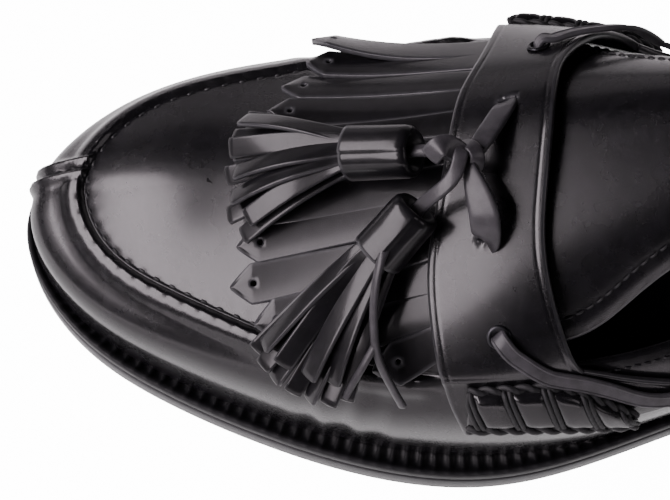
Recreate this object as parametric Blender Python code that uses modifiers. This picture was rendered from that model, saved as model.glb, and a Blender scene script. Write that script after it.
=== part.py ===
"""Kiltie loafer, the left shoe, at its real size.

+X points to the toe, +Y to the outer (lateral) side, +Z up, with the origin on the floor under the
middle of the shoe. Lengths are in millimetres until a mesh is made, which is in metres.
"""
import math
from collections import namedtuple

import bmesh
import bpy
import numpy as np
from mathutils import Matrix, Vector
from mathutils.bvhtree import BVHTree

MM = 0.001

# Driving dimensions
HALF_LENGTH = 151.0
OUTSOLE = 6.3
WELT = 3.2
GAP = 0.3
WALL = 2.0
HEEL_HEIGHT = 17.5
HEEL_BREAST_X = -75.0
TOP_PIECE = 6.0
TOE_SPRING = 9.0
TREAD_X = (50.0, 75.0)
THROAT_X = 35.0
TOE_FOCUS_X = 104.0
SWELL_AT = 0.42
INSOLE_RISE = 2.8
RIDGE_HEIGHT = 1.8
SPLIT_TOE_Y = -15.5
SPLIT_TOE_HEIGHT = 1.7
KILTIE_THICKNESS = 1.4
SADDLE_THICKNESS = 1.9
LAY = 0.45
KILTIE_COVER = LAY + KILTIE_THICKNESS + LAY

# Sections of the last, heel to toe. x, y: the line where the upper meets the welt. welt: how far the
# welt stands out. swell: how far the wall bulges. lean: how far the wall's top edge sits inward.
# top: the height of that edge, the topline behind the throat and the apron seam in front of it.
Section = namedtuple("Section", "place x lateral_y medial_y lateral_welt medial_welt swell "
                     "lateral_lean medial_lean lateral_top medial_top")
LAST = [
    Section("heel back", -147.6, -5.0, -5.0, 2.0, 2.0, 3.4, 2.0, 2.0, 85.0, 85.0),
    Section("heel turn", -139.0, 17.5, -27.5, 2.0, 2.0, 3.2, 3.0, 3.0, 82.0, 82.5),
    Section("heel side", -116.0, 28.5, -38.5, 2.2, 2.2, 2.8, 5.0, 5.0, 72.0, 73.5),
    Section("heel front", -86.0, 30.0, -38.5, 2.2, 2.2, 2.2, 6.0, 6.0, 61.5, 64.0),
    Section("waist rear", -55.0, 31.0, -34.8, 2.4, 2.0, 2.2, 6.0, 6.0, 54.0, 57.5),
    Section("waist", -24.0, 35.0, -34.2, 2.6, 2.0, 2.6, 6.0, 6.0, 49.5, 53.5),
    Section("waist front", 6.0, 43.9, -42.2, 2.6, 2.3, 2.2, 5.7, 5.6, 47.5, 52.0),
    Section("ball rear", 34.0, 48.6, -48.4, 4.7, 3.7, 1.5, 6.3, 6.6, 48.0, 50.5),
    Section("ball", 62.0, 46.7, -49.8, 5.2, 3.9, 1.3, 6.4, 8.2, 42.0, 44.0),
    Section("forefoot", 90.0, 38.6, -47.8, 5.0, 4.1, 1.2, 8.3, 9.5, 39.0, 40.5),
    Section("toe side", 115.5, 28.0, -41.9, 4.7, 3.9, 1.0, 10.2, 8.6, 37.0, 38.0),
    Section("toe turn", 136.7, 14.2, -29.2, 3.8, 3.6, 0.8, 11.5, 9.5, 35.3, 35.8),
    Section("toe tip", 148.2, -8.0, -8.0, 2.8, 2.8, 0.7, 13.2, 13.2, 34.5, 34.5),
]
ROUND = 2 * (len(LAST) - 1)

# The top line of the instep along the middle of the shoe.
SPINE_X = [-40.0, -28.0, -10.0, 10.0, 28.0, 45.0, 60.0, 80.0, 104.0, 125.0]
SPINE_Z = [98.0, 95.0, 89.6, 82.5, 75.4, 68.4, 62.2, 54.6, 46.8, 41.5]

# Half widths of the tongue about its own middle, front to end.
TONGUE_X = [34.4, 24.0, 9.0, -5.0, -14.0, -20.0, -24.0, -26.0]
TONGUE_HALF = [37.5, 36.2, 27.4, 21.4, 18.0, 15.2, 11.6, 6.0]
TONGUE_MIDDLE_Y = 0.0

# The saddle, low end on the lateral side to low end on the medial side. girth: 1 at the wall's top
# edge, 2 at the middle of the instep. front, rear: the x of its two edges.
Band = namedtuple("Band", "side girth front rear lift")
SADDLE = [
    Band(1, 0.62, 45.0, -6.0, LAY),
    Band(1, 0.74, 46.6, -4.0, LAY),
    Band(1, 0.88, 48.8, 7.0, LAY),
    Band(1, 0.98, 50.2, 17.5, 1.2),
    Band(1, 1.08, 51.5, 23.5, KILTIE_COVER),
    Band(1, 1.40, 53.2, 28.6, KILTIE_COVER),
    Band(1, 1.70, 51.0, 28.8, KILTIE_COVER),
    Band(1, 2.00, 48.0, 27.2, KILTIE_COVER),
    Band(-1, 1.70, 45.0, 25.2, KILTIE_COVER),
    Band(-1, 1.40, 39.6, 20.0, KILTIE_COVER),
    Band(-1, 1.08, 35.2, 8.0, KILTIE_COVER),
    Band(-1, 0.98, 34.6, 0.5, 1.2),
    Band(-1, 0.88, 34.0, -6.0, LAY),
    Band(-1, 0.74, 33.4, -12.0, LAY),
    Band(-1, 0.62, 33.0, -14.0, LAY),
]

# Strips of the kiltie, medial to lateral: where each leaves the base, where its point lies, and how
# far the point lifts.
Strip = namedtuple("Strip", "root_y tip_x tip_y tip_lift")
STRIPS = [
    Strip(-33.7, 79.0, -40.0, 5.0),
    Strip(-27.5, 80.5, -34.5, 2.6),
    Strip(-21.3, 86.5, -28.0, 1.6),
    Strip(-15.0, 89.5, -20.5, 1.3),
    Strip(-8.7, 93.0, -13.0, 1.2),
    Strip(-2.5, 95.0, -5.0, 1.2),
    Strip(3.8, 96.0, 3.0, 1.2),
    Strip(10.1, 96.0, 11.0, 1.2),
    Strip(16.3, 97.5, 19.0, 1.2),
    Strip(22.6, 92.0, 27.0, 1.4),
    Strip(28.9, 79.0, 33.8, 2.2),
    Strip(34.6, 65.0, 38.4, 2.6),
]
STRIP_ROOT_HALF = 2.85
STRIP_TIP_HALF = 3.75
STRIP_POINT = 4.6
ROOT_Y = [-40.0, -25.0, -3.0, 28.0, 40.0]
ROOT_X = [37.0, 40.5, 46.5, 51.0, 49.0]
BASE_DEPTH = 8.0

# Beef rolls: from x to x, front to rear, with thread rungs pulling them in.
ROLLS = {"lateral": (1, 45.0, 8.0), "medial": (-1, 32.6, -3.0)}
ROLL_RUNGS = 5
ROLL_HEIGHT = 3.0

# Where the tie and the eyelets sit on the saddle: x, y.
SLOT_TOP = (35.6, -10.4)
SLOT_LOW = (40.7, 17.5)
SLOT_SIZE = (7.0, 2.2)
EYELETS = {"lateral": (38.3, 35.1), "medial": (27.9, -25.7)}
EYELET_RADIUS = 2.6
EYELET_WIRE = 0.7

LACE_WIDTH = 3.8
LACE_THICKNESS = 1.2
THONG_WIDTH = 5.8
THONG_THICKNESS = 1.3


def clear_scene():
    """Remove every object, so that a second run starts clean."""
    for thing in list(bpy.data.objects):
        bpy.data.objects.remove(thing, do_unlink=True)


def hermite(start, end, start_slope, end_slope, share):
    """Cubic between two values with given slopes."""
    s2 = share * share
    s3 = s2 * share
    return ((2 * s3 - 3 * s2 + 1) * start + (s3 - 2 * s2 + share) * start_slope
            + (3 * s2 - 2 * s3) * end + (s3 - s2) * end_slope)


def smooth(share):
    """Ease from 0 to 1."""
    share = min(max(share, 0.0), 1.0)
    return share * share * (3 - 2 * share)


def loop_spline(values):
    """A smooth function through values set round a closed loop, one a unit."""
    values = np.array(values, float)
    count = len(values)
    system = 4 * np.eye(count) + np.roll(np.eye(count), 1, 0) + np.roll(np.eye(count), -1, 0)
    slopes = np.linalg.solve(system, 3 * (np.roll(values, -1) - np.roll(values, 1)))

    def at(place):
        index = math.floor(place)
        a = index % count
        b = (index + 1) % count
        return hermite(values[a], values[b], slopes[a], slopes[b], place - index)
    return at


def line_spline(xs, ys):
    """A natural cubic spline through (x, y) pairs; x may run either way."""
    order = np.argsort(xs)
    xs = np.array(xs, float)[order]
    ys = np.array(ys, float)[order]
    count = len(xs)
    steps = np.diff(xs)
    rises = np.diff(ys) / steps
    system = np.zeros((count, count))
    right = np.zeros(count)
    system[0, 0:2] = (2, 1)
    right[0] = 3 * rises[0]
    system[-1, -2:] = (1, 2)
    right[-1] = 3 * rises[-1]
    for i in range(1, count - 1):
        system[i, i - 1:i + 2] = (steps[i], 2 * (steps[i - 1] + steps[i]), steps[i - 1])
        right[i] = 3 * (steps[i] * rises[i - 1] + steps[i - 1] * rises[i])
    slopes = np.linalg.solve(system, right)

    def at(x):
        i = int(np.clip(np.searchsorted(xs, x) - 1, 0, count - 2))
        share = (x - xs[i]) / steps[i]
        return hermite(ys[i], ys[i + 1], slopes[i] * steps[i], slopes[i + 1] * steps[i], share)
    return at


def around(lateral, medial):
    """Spline of a column of LAST, up the lateral side and back down the medial one."""
    up = [getattr(row, lateral) for row in LAST]
    down = [getattr(row, medial) for row in reversed(LAST[1:-1])]
    return loop_spline(up + down)


LAST_X = around("x", "x")
LAST_Y = around("lateral_y", "medial_y")
LAST_WELT = around("lateral_welt", "medial_welt")
LAST_SWELL = around("swell", "swell")
LAST_LEAN = around("lateral_lean", "medial_lean")
LAST_TOP = around("lateral_top", "medial_top")
SPINE = line_spline(SPINE_X, SPINE_Z)


def under(x):
    """Height of the outsole's underside: toe spring, flat tread, arch, then the heel seat."""
    if x > TREAD_X[1]:
        return TOE_SPRING * ((x - TREAD_X[1]) / (HALF_LENGTH - TREAD_X[1])) ** 2
    if x > TREAD_X[0]:
        return 0.0
    rise = smooth((TREAD_X[0] - x) / (TREAD_X[0] - HEEL_BREAST_X))
    return HEEL_HEIGHT * rise + 0.013 * max(HEEL_BREAST_X - x, 0.0)


def outline(place, offset=0.0):
    """Point and outward direction on the line where upper and welt meet, moved out by offset."""
    step = 0.01
    run = np.array([LAST_X(place + step) - LAST_X(place - step), LAST_Y(place + step) - LAST_Y(place - step)])
    out = np.array([-run[1], run[0]]) / np.linalg.norm(run)
    return np.array([LAST_X(place), LAST_Y(place)]) + out * offset, out


def place_at(x, side):
    """Place on the loop with this x, on the lateral (1) or medial (-1) side."""
    low, high = 0.0, ROUND / 2
    for _ in range(40):
        middle = (low + high) / 2
        if LAST_X(middle) < x:
            low = middle
        else:
            high = middle
    return low if side > 0 else ROUND - low


def wall_point(place, girth):
    """Point on the outer wall, girth 0 at the welt and 1 at its top edge."""
    foot, out = outline(place)
    base = under(foot[0]) + OUTSOLE + WELT + GAP
    swell = LAST_SWELL(place)
    fit = np.linalg.solve([[SWELL_AT, SWELL_AT ** 2, SWELL_AT ** 3], [1, 2 * SWELL_AT, 3 * SWELL_AT ** 2],
                           [1, 1, 1]], [swell, 0, -LAST_LEAN(place)])
    spot = foot + out * (fit[0] * girth + fit[1] * girth ** 2 + fit[2] * girth ** 3)
    return np.array([spot[0], spot[1], base + (LAST_TOP(place) - base) * girth])


def spine_point(place):
    """Where the cross line from this place meets the middle of the shoe, and the slope there."""
    x = LAST_X(place)
    x = x - 6.0 * math.log1p(math.exp(min((x - TOE_FOCUS_X) / 6.0, 40.0)))
    slope = (SPINE(x + 0.5) - SPINE(x - 0.5))
    return np.array([x, -3.0 - 0.04 * (x - THROAT_X), SPINE(x)]), slope


def top_point(place, share):
    """Point over the instep, share 0 at the wall's top edge and 1 at the middle."""
    edge = wall_point(place, 1.0)
    middle, slope = spine_point(place)
    rise = middle[2] - edge[2]
    spot = edge + (middle - edge) * share
    shoulder = 1.6 + 0.75 * smooth((TREAD_X[0] - middle[0]) / 60.0)
    spot[2] = edge[2] + rise * hermite(0, 1, shoulder, slope * (middle[0] - edge[0]) / rise, share)
    return spot


def last_point(place, girth):
    """Point on the outside of the last: 0 to 1 up the wall, 1 to 2 on to the middle."""
    if girth <= 1.0:
        return wall_point(place, girth)
    return top_point(place, girth - 1.0)


def last_normal(place, girth):
    """Outward direction of the last at a point away from its middle line."""
    along = last_point(place + 0.05, girth) - last_point(place - 0.05, girth)
    up = last_point(place, girth + 0.03) - last_point(place, girth - 0.03)
    normal = np.cross(up, along)
    return normal / np.linalg.norm(normal)


def grid_faces(rows, columns, wrap=False):
    """Faces of a grid of points stored row by row."""
    faces = []
    for i in range(rows if wrap else rows - 1):
        for j in range(columns - 1):
            a = i * columns + j
            b = ((i + 1) % rows) * columns + j
            faces.append((a, a + 1, b + 1, b))
    return faces


def make_mesh(name, points, faces, merge=0.0001):
    """A mesh in metres from points in millimetres, with doubled points merged."""
    shape = bmesh.new()
    vertices = [shape.verts.new(Vector(point) * MM) for point in points]
    for face in faces:
        shape.faces.new([vertices[i] for i in face])
    bmesh.ops.remove_doubles(shape, verts=shape.verts, dist=merge)
    bmesh.ops.dissolve_degenerate(shape, dist=0.00001, edges=shape.edges)
    mesh = bpy.data.meshes.new(name)
    shape.to_mesh(mesh)
    shape.free()
    return mesh


def face_out(mesh):
    """Turn a closed mesh's faces outward."""
    shape = bmesh.new()
    shape.from_mesh(mesh)
    bmesh.ops.recalc_face_normals(shape, faces=shape.faces)
    if shape.calc_volume(signed=True) < 0:
        bmesh.ops.reverse_faces(shape, faces=shape.faces)
    shape.to_mesh(mesh)
    shape.free()


def finish(name, colour, roughness, metallic=0.0):
    """A plain finish for one sub-part."""
    material = bpy.data.materials.new(name)
    material.use_nodes = True
    shader = material.node_tree.nodes["Principled BSDF"]
    shader.inputs["Base Color"].default_value = (*colour, 1.0)
    shader.inputs["Roughness"].default_value = roughness
    shader.inputs["Metallic"].default_value = metallic
    return material


def add_part(parts, name, mesh, material):
    """Put a mesh in the parts collection as one named object."""
    part = bpy.data.objects.new(name, mesh)
    mesh.materials.append(material)
    mesh.shade_smooth()
    parts.objects.link(part)
    return part


def add_cutter(cutters, name, mesh):
    """Put a mesh in the cutters collection, hidden from renders."""
    cutter = bpy.data.objects.new(name, mesh)
    cutter.hide_render = True
    cutter.display_type = "WIRE"
    cutters.objects.link(cutter)
    return cutter


def move_to(parts, thing):
    """Move an object made by an operator into the parts collection."""
    for collection in list(thing.users_collection):
        collection.objects.unlink(thing)
    parts.objects.link(thing)


def combine(part, cutter, operation):
    """Join or cut a part with a cutter, exactly."""
    modifier = part.modifiers.new(cutter.name, "BOOLEAN")
    modifier.operation = operation
    modifier.object = cutter
    modifier.solver = "EXACT"


def thicken(part, thickness, outward):
    """Give an open surface its real thickness."""
    modifier = part.modifiers.new("thickness", "SOLIDIFY")
    modifier.thickness = thickness * MM
    modifier.offset = 1.0 if outward else -1.0
    modifier.use_even_offset = True


def shell_mesh(name, sheet, over, below):
    """Close an open sheet into a wall, moved out by over and in by below along its normals."""
    shape = bmesh.new()
    shape.from_mesh(sheet)
    shape.normal_update()
    shape.verts.ensure_lookup_table()
    count = len(shape.verts)
    spots = [vertex.co / MM for vertex in shape.verts]
    normals = [vertex.normal.copy() for vertex in shape.verts]
    outer = [spots[i] + normals[i] * over(spots[i], i) for i in range(count)]
    inner = [spots[i] - normals[i] * below(spots[i], i) for i in range(count)]
    faces = [[vertex.index for vertex in face.verts] for face in shape.faces]
    rims = []
    for edge in shape.edges:
        if edge.is_boundary:
            loop = edge.link_loops[0]
            rims.append((loop.vert.index, loop.link_loop_next.vert.index))
    shape.free()
    solid = [list(face) for face in faces]
    solid += [[i + count for i in reversed(face)] for face in faces]
    solid += [[b, a, a + count, b + count] for a, b in rims]
    mesh = make_mesh(name, outer + inner, solid, merge=0.000001)
    face_out(mesh)
    return mesh


def slab_mesh(name, places, levels):
    """A slab between lateral and medial places in pairs. levels: functions from place to a point."""
    loop = list(places) + [ROUND - place for place in reversed(places)]
    count = len(loop)
    half = len(places)
    points = [level(place) for level in levels for place in loop]
    faces = []
    for level in range(len(levels) - 1):
        for i in range(count):
            a = level * count + i
            b = level * count + (i + 1) % count
            faces.append((a, b, b + count, a + count))
    top = (len(levels) - 1) * count
    for i in range(half - 1):
        a, b = i, i + 1
        c, d = count - 1 - b, count - 1 - a
        faces.append((a, d, c, b))
        faces.append((top + a, top + b, top + c, top + d))
    mesh = make_mesh(name, points, faces, merge=0.000001)
    face_out(mesh)
    return mesh


def level(offset, height):
    """A level of a slab: outline moved out by offset(place), at height(x)."""
    def at(place):
        spot, _ = outline(place, offset(place))
        return (spot[0], spot[1], height(spot[0]))
    return at


def pair_places(count, snaps, end=ROUND / 2):
    """Places up the lateral side, heel to toe, with the nearest ones moved on to the snaps."""
    places = [(i + 0.5) * end / count for i in range(count)]
    for snap in snaps:
        nearest = min(range(count), key=lambda i: abs(places[i] - snap))
        places[nearest] = snap
    return places


def make_sole(parts):
    """Outsole, welt, insole, heel stack and top piece."""
    tread = [place_at(x, 1) for x in TREAD_X]
    places = pair_places(40, tread)
    edge = LAST_WELT
    mesh = slab_mesh("outsole", places, [
        level(lambda p: edge(p) - 1.0, under),
        level(edge, lambda x: under(x) + 1.0),
        level(edge, lambda x: under(x) + OUTSOLE - GAP),
    ])
    add_part(parts, "outsole", mesh, finish("sole_edge", (0.02, 0.02, 0.022), 0.45))

    inside = -WALL - 0.6
    mesh = slab_mesh("insole", places, [
        level(lambda p: inside, lambda x: under(x) + OUTSOLE),
        level(lambda p: inside, lambda x: under(x) + OUTSOLE + WELT + INSOLE_RISE),
    ])
    add_part(parts, "insole", mesh, finish("insole_leather", (0.03, 0.03, 0.032), 0.6))

    loop = places + [ROUND - place for place in reversed(places)]
    points = []
    for place in loop:
        for offset, height in ((edge(place), OUTSOLE), (edge(place), OUTSOLE + WELT),
                               (inside + GAP, OUTSOLE + WELT),
                               (inside + GAP, OUTSOLE)):
            spot, _ = outline(place, offset)
            points.append((spot[0], spot[1], under(spot[0]) + height))
    faces = grid_faces(len(loop), 4, wrap=True)
    for i in range(len(loop)):
        a = i * 4
        b = ((i + 1) % len(loop)) * 4
        faces.append((a + 3, a, b, b + 3))
    mesh = make_mesh("welt", points, faces, merge=0.000001)
    face_out(mesh)
    add_part(parts, "welt", mesh, finish("welt_leather", (0.015, 0.015, 0.017), 0.5))

    breast = place_at(HEEL_BREAST_X, 1)
    places = pair_places(14, [], end=breast * 14 / 13.5)
    stack_foot = TOP_PIECE + GAP
    mesh = slab_mesh("heel_stack", places, [
        level(lambda p: edge(p) - 1.0, lambda x: stack_foot),
        level(lambda p: edge(p) - 0.2, lambda x: under(x) - GAP),
    ])
    add_part(parts, "heel_stack", mesh, finish("heel_leather", (0.015, 0.015, 0.017), 0.4))
    mesh = slab_mesh("heel_top_piece", places, [
        level(lambda p: edge(p) - 1.8, lambda x: 0.0),
        level(lambda p: edge(p) - 1.1, lambda x: 0.8),
        level(lambda p: edge(p) - 1.0, lambda x: TOP_PIECE),
    ])
    add_part(parts, "heel_top_piece", mesh, finish("heel_rubber", (0.02, 0.02, 0.02), 0.7))


def make_upper(parts):
    """The hollow upper: one wall, open at the collar and throat and underneath."""
    throat = place_at(THROAT_X, 1)
    places = pair_places(37, [throat])
    split = [12.18, 12.32, 12.45, 12.58, 12.74]
    medial = [ROUND - place for place in reversed(places)]
    medial = sorted([p for p in medial if p > 12.85] + split + [ROUND / 2])
    stations = places + medial
    wall = [0.0, 0.2, 0.4, 0.6, 0.78, 0.87, 0.94, 1.0]
    apron = [1.04, 1.14, 1.28, 1.44, 1.62, 1.8, 2.0]
    points = []
    faces = []
    spans = []
    for place in stations:
        start = len(points)
        covered = throat - 0.001 <= place <= ROUND - throat + 0.001
        levels = wall + apron if covered else wall
        points += [last_point(place, girth) for girth in levels]
        spans.append((start, len(levels)))
    for i, (start, count) in enumerate(spans):
        following, following_count = spans[(i + 1) % len(spans)]
        for j in range(min(count, following_count) - 1):
            faces.append((start + j, following + j, following + j + 1, start + j + 1))
    lifts = {}
    for place, (start, count) in zip(stations, spans):
        levels = (wall + apron)[:count]
        for j, girth in enumerate(levels):
            lifts[tuple(np.round(points[start + j], 2))] = ridge_lift(place, girth, points[start + j])
    sheet = make_mesh("upper_sheet", points, faces)
    sheet_normals_out(sheet)

    def over(spot, _):
        return lifts.get(tuple(np.round(np.array(spot), 2)), 0.0)
    mesh = shell_mesh("upper", sheet, over, lambda spot, _: WALL)
    bpy.data.meshes.remove(sheet)
    add_part(parts, "upper", mesh, finish("upper_leather", (0.008, 0.008, 0.01), 0.12))


def ridge_lift(place, girth, point):
    """Height of the raised apron seam and of the split toe ridge over the plain last."""
    front = smooth((point[0] - 54.0) / 8.0)
    if girth > 1.05:
        return 0.0
    shape = {0.87: 0.7, 0.94: 1.0, 1.0: 0.25, 1.04: 0.1}.get(girth, 0.0)
    seam = RIDGE_HEIGHT * shape * front
    split = 0.0
    if point[0] > 120.0 and 0.1 < girth < 1.01:
        across = (point[1] - SPLIT_TOE_Y) / 3.2
        split = SPLIT_TOE_HEIGHT * math.exp(-across * across) * smooth(girth / 0.2)
    return max(seam, split)


def sheet_normals_out(mesh):
    """Turn an open sheet so that its faces look away from the inside of the shoe."""
    shape = bmesh.new()
    shape.from_mesh(mesh)
    bmesh.ops.recalc_face_normals(shape, faces=shape.faces)
    top = max(shape.faces, key=lambda face: face.normal.z ** 2 * face.calc_center_median().z)
    if top.normal.z < 0:
        bmesh.ops.reverse_faces(shape, faces=shape.faces)
    shape.to_mesh(mesh)
    shape.free()


def make_guide():
    """Fine surface over the instep, for laying pieces on by x and y."""
    points = []
    places = [place_at(x, 1) for x in np.arange(-45.0, 110.0, 2.5)]
    places += list(np.linspace(places[-1], ROUND / 2, 14)[1:])
    places += [ROUND - place for place in reversed(places[:-1])]
    girths = list(np.linspace(0.3, 1.0, 12)) + list(np.linspace(1.0, 2.0, 22)[1:])
    for place in places:
        points += [Vector(last_point(place, girth)) for girth in girths]
    return BVHTree.FromPolygons(points, grid_faces(len(places), len(girths)))


GUIDE = make_guide()


def guide_height(x, y):
    """Height of the last over a point of the floor."""
    hit = GUIDE.ray_cast(Vector((x, y, 200.0)), Vector((0, 0, -1)))[0]
    return hit.z if hit else 20.0


def drape(x, y, lift):
    """Point over the last at x, y, moved out by lift along its normal."""
    reach = 2.5
    slope_x = (guide_height(x + reach, y) - guide_height(x - reach, y)) / (2 * reach)
    slope_y = (guide_height(x, y + reach) - guide_height(x, y - reach)) / (2 * reach)
    normal = np.array([-slope_x, -slope_y, 1.0])
    normal /= np.linalg.norm(normal)
    return np.array([x, y, guide_height(x, y)]) + normal * lift, normal


def make_tongue(parts):
    """Tongue behind the saddle, on the same surface as the apron."""
    half = line_spline(TONGUE_X, TONGUE_HALF)
    rows = [34.0, 29.0, 24.0, 16.5, 9.0, 2.0, -5.0, -11.0, -16.0, -20.0, -23.0, -25.0, -26.0]
    columns = 13
    points = []
    for x in rows:
        for j in range(columns):
            share = 2 * j / (columns - 1) - 1
            y = TONGUE_MIDDLE_Y + half(x) * math.sin(share * math.pi / 2)
            points.append(drape(x, y, 0.0)[0])
    mesh = make_mesh("tongue", points, grid_faces(len(rows), columns))
    sheet_normals_out(mesh)
    part = add_part(parts, "tongue", mesh, finish("tongue_leather", (0.008, 0.008, 0.01), 0.2))
    thicken(part, WALL, outward=False)


def saddle_spline(column):
    """Spline of a column of SADDLE by row number."""
    return line_spline(range(len(SADDLE)), [getattr(row, column) for row in SADDLE])


def saddle_surface():
    """Sheet under the saddle, moved out by its lift."""
    girth = [2 - row.girth if row.side > 0 else row.girth - 2 for row in SADDLE]
    girth = line_spline(range(len(SADDLE)), girth)
    front = saddle_spline("front")
    rear = saddle_spline("rear")
    lift = line_spline(range(len(SADDLE)), [row.lift for row in SADDLE])
    rows = np.linspace(0, len(SADDLE) - 1, 33)
    columns = 7
    points = []
    lifts = []
    for row in rows:
        turn = girth(row)
        for j in range(columns):
            x = rear(row) + (front(row) - rear(row)) * j / (columns - 1)
            place = place_at(x, 1 if turn > 0 else -1)
            points.append(last_point(place, 2 - abs(turn)))
            lifts.append(max(lift(row), LAY))
    return points, lifts, grid_faces(len(rows), columns)


def moved_out(name, points, lifts, faces):
    """Mesh of a sheet with each point moved out along the sheet's normal."""
    shape = bmesh.new()
    vertices = [shape.verts.new(Vector(point)) for point in points]
    for face in faces:
        shape.faces.new([vertices[i] for i in face])
    shape.normal_update()
    sign = 1 if sum(face.normal.z for face in shape.faces) > 0 else -1
    moved = [vertex.co + vertex.normal * sign * lift for vertex, lift in zip(vertices, lifts)]
    shape.free()
    mesh = make_mesh(name, moved, faces)
    sheet_normals_out(mesh)
    return mesh


def box_mesh(name, size):
    """A box about its own middle, in millimetres."""
    shape = bmesh.new()
    bmesh.ops.create_cube(shape, size=1.0)
    bmesh.ops.scale(shape, verts=shape.verts, vec=Vector(size) * MM)
    mesh = bpy.data.meshes.new(name)
    shape.to_mesh(mesh)
    shape.free()
    return mesh


def drum_mesh(name, radius, far_radius, depth, segments=16):
    """A round drum about its own middle, along Z, in millimetres."""
    shape = bmesh.new()
    bmesh.ops.create_cone(shape, cap_ends=True, segments=segments, radius1=radius * MM,
                          radius2=far_radius * MM, depth=depth * MM)
    mesh = bpy.data.meshes.new(name)
    shape.to_mesh(mesh)
    shape.free()
    return mesh


def upright(spot, normal, along):
    """Matrix at a spot with Z on the normal and X near the direction along."""
    z = Vector(normal).normalized()
    x = (Vector(along) - z * Vector(along).dot(z)).normalized()
    y = z.cross(x)
    turn = Matrix((x, y, z)).transposed().to_4x4()
    return Matrix.Translation(Vector(spot) * MM) @ turn


def make_saddle(parts, cutters):
    """Saddle strap with its two slots and two eyelet holes, and the eyelet rings."""
    points, lifts, faces = saddle_surface()
    mesh = moved_out("saddle", points, lifts, faces)
    part = add_part(parts, "saddle", mesh, finish("saddle_leather", (0.008, 0.008, 0.01), 0.14))
    thicken(part, SADDLE_THICKNESS, outward=True)
    face = KILTIE_COVER + SADDLE_THICKNESS
    for name, (x, y) in (("slot_top", SLOT_TOP), ("slot_low", SLOT_LOW)):
        spot, normal = drape(x, y, face - 1.0)
        cutter = add_cutter(cutters, name, box_mesh(name, (*SLOT_SIZE, 8.0)))
        cutter.matrix_world = upright(spot, normal, (1, 0, 0))
        combine(part, cutter, "DIFFERENCE")
    for side, (x, y) in EYELETS.items():
        spot, normal = drape(x, y, face - 1.0)
        cutter = add_cutter(cutters, "hole_" + side, drum_mesh("hole_" + side, 1.9, 1.9, 10.0))
        cutter.matrix_world = upright(spot, normal, (1, 0, 0))
        combine(part, cutter, "DIFFERENCE")
        bpy.ops.mesh.primitive_torus_add(major_segments=14, minor_segments=6, major_radius=EYELET_RADIUS * MM,
                                         minor_radius=EYELET_WIRE * MM)
        ring = bpy.context.active_object
        ring.name = "eyelet_" + side
        ring.data.materials.append(finish("eyelet_" + side, (0.01, 0.01, 0.01), 0.3, 0.6))
        ring.data.shade_smooth()
        move_to(parts, ring)
        spot, normal = drape(x, y, face + EYELET_WIRE + GAP)
        ring.matrix_world = upright(spot, normal, (1, 0, 0))


def make_kiltie(parts):
    """Fringed flap: a base under the saddle and strips running to their points."""
    root_x = line_spline(ROOT_Y, ROOT_X)
    base_rows = 3
    points = []
    faces = []
    edges = []
    for strip in STRIPS:
        edges += [strip.root_y - STRIP_ROOT_HALF, strip.root_y, strip.root_y + STRIP_ROOT_HALF]
    width = len(edges)
    for row in range(base_rows):
        for y in edges:
            x = root_x(y) - BASE_DEPTH * (1 - row / (base_rows - 1))
            points.append(drape(x, y, LAY)[0])
    faces += grid_faces(base_rows, width)
    steps = 6
    for number, strip in enumerate(STRIPS):
        previous = [(base_rows - 1) * width + 3 * number + k for k in range(3)]
        start = np.array([root_x(strip.root_y), strip.root_y])
        run = np.array([strip.tip_x, strip.tip_y]) - start
        length = np.linalg.norm(run)
        run /= length
        across = np.array([-run[1], run[0]])
        for step in range(1, steps + 1):
            share = (length - STRIP_POINT) / length * step / (steps - 1)
            if step == steps:
                share = 1.0
            half = STRIP_ROOT_HALF + (STRIP_TIP_HALF - STRIP_ROOT_HALF) * share
            half = 0.0 if step == steps else half
            middle = start + run * length * share
            lift = LAY + strip.tip_lift * share ** 2
            current = []
            for k in (-1, 0, 1):
                spot = middle + across * half * k
                current.append(len(points))
                points.append(drape(spot[0], spot[1], lift)[0])
            for k in range(2):
                faces.append((previous[k], previous[k + 1], current[k + 1], current[k]))
            previous = current
    mesh = make_mesh("kiltie", points, faces, merge=0.00001)
    sheet_normals_out(mesh)
    part = add_part(parts, "kiltie", mesh, finish("kiltie_leather", (0.008, 0.008, 0.01), 0.16))
    thicken(part, KILTIE_THICKNESS, outward=True)


def make_beef_roll(parts, side_name, side, front, rear):
    """Sewn roll over the saddle's end, pulled in at each rung of thread."""
    rows, columns = 21, 6
    points = []
    shares = []
    for i in range(rows):
        along = i / (rows - 1)
        x = front + (rear - front) * along
        high = 0.95 - 0.3 * max((along - 0.45) / 0.55, 0.0) ** 1.8
        low = 0.73 - 0.13 * along ** 2
        for j in range(columns):
            across = j / (columns - 1)
            points.append(last_point(place_at(x, side), low + (high - low) * across))
            shares.append((along, across))
    base = LAY + SADDLE_THICKNESS + LAY

    def swell(_, index):
        along, across = shares[index]
        rung = abs(math.sin(math.pi * (along * ROLL_RUNGS)))
        crest = math.sin(math.pi * across) ** 0.6 if 0 < across < 1 else 0.0
        ends = min(1.0, along * 12 + 0.3, (1 - along) * 12 + 0.3)
        return base + 0.9 + (ROLL_HEIGHT - 0.9) * crest * (0.55 + 0.45 * rung) * ends
    sheet = make_mesh("roll_sheet", points, grid_faces(rows, columns), merge=0.000001)
    if side > 0:
        sheet_flip(sheet)
    mesh = shell_mesh("beef_roll_" + side_name, sheet, swell, lambda spot, index: -base)
    bpy.data.meshes.remove(sheet)
    name = "beef_roll_" + side_name
    add_part(parts, name, mesh, finish(name, (0.008, 0.008, 0.01), 0.15))


def sheet_flip(mesh):
    """Reverse the faces of a sheet."""
    shape = bmesh.new()
    shape.from_mesh(mesh)
    bmesh.ops.reverse_faces(shape, faces=shape.faces)
    shape.to_mesh(mesh)
    shape.free()


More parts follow.
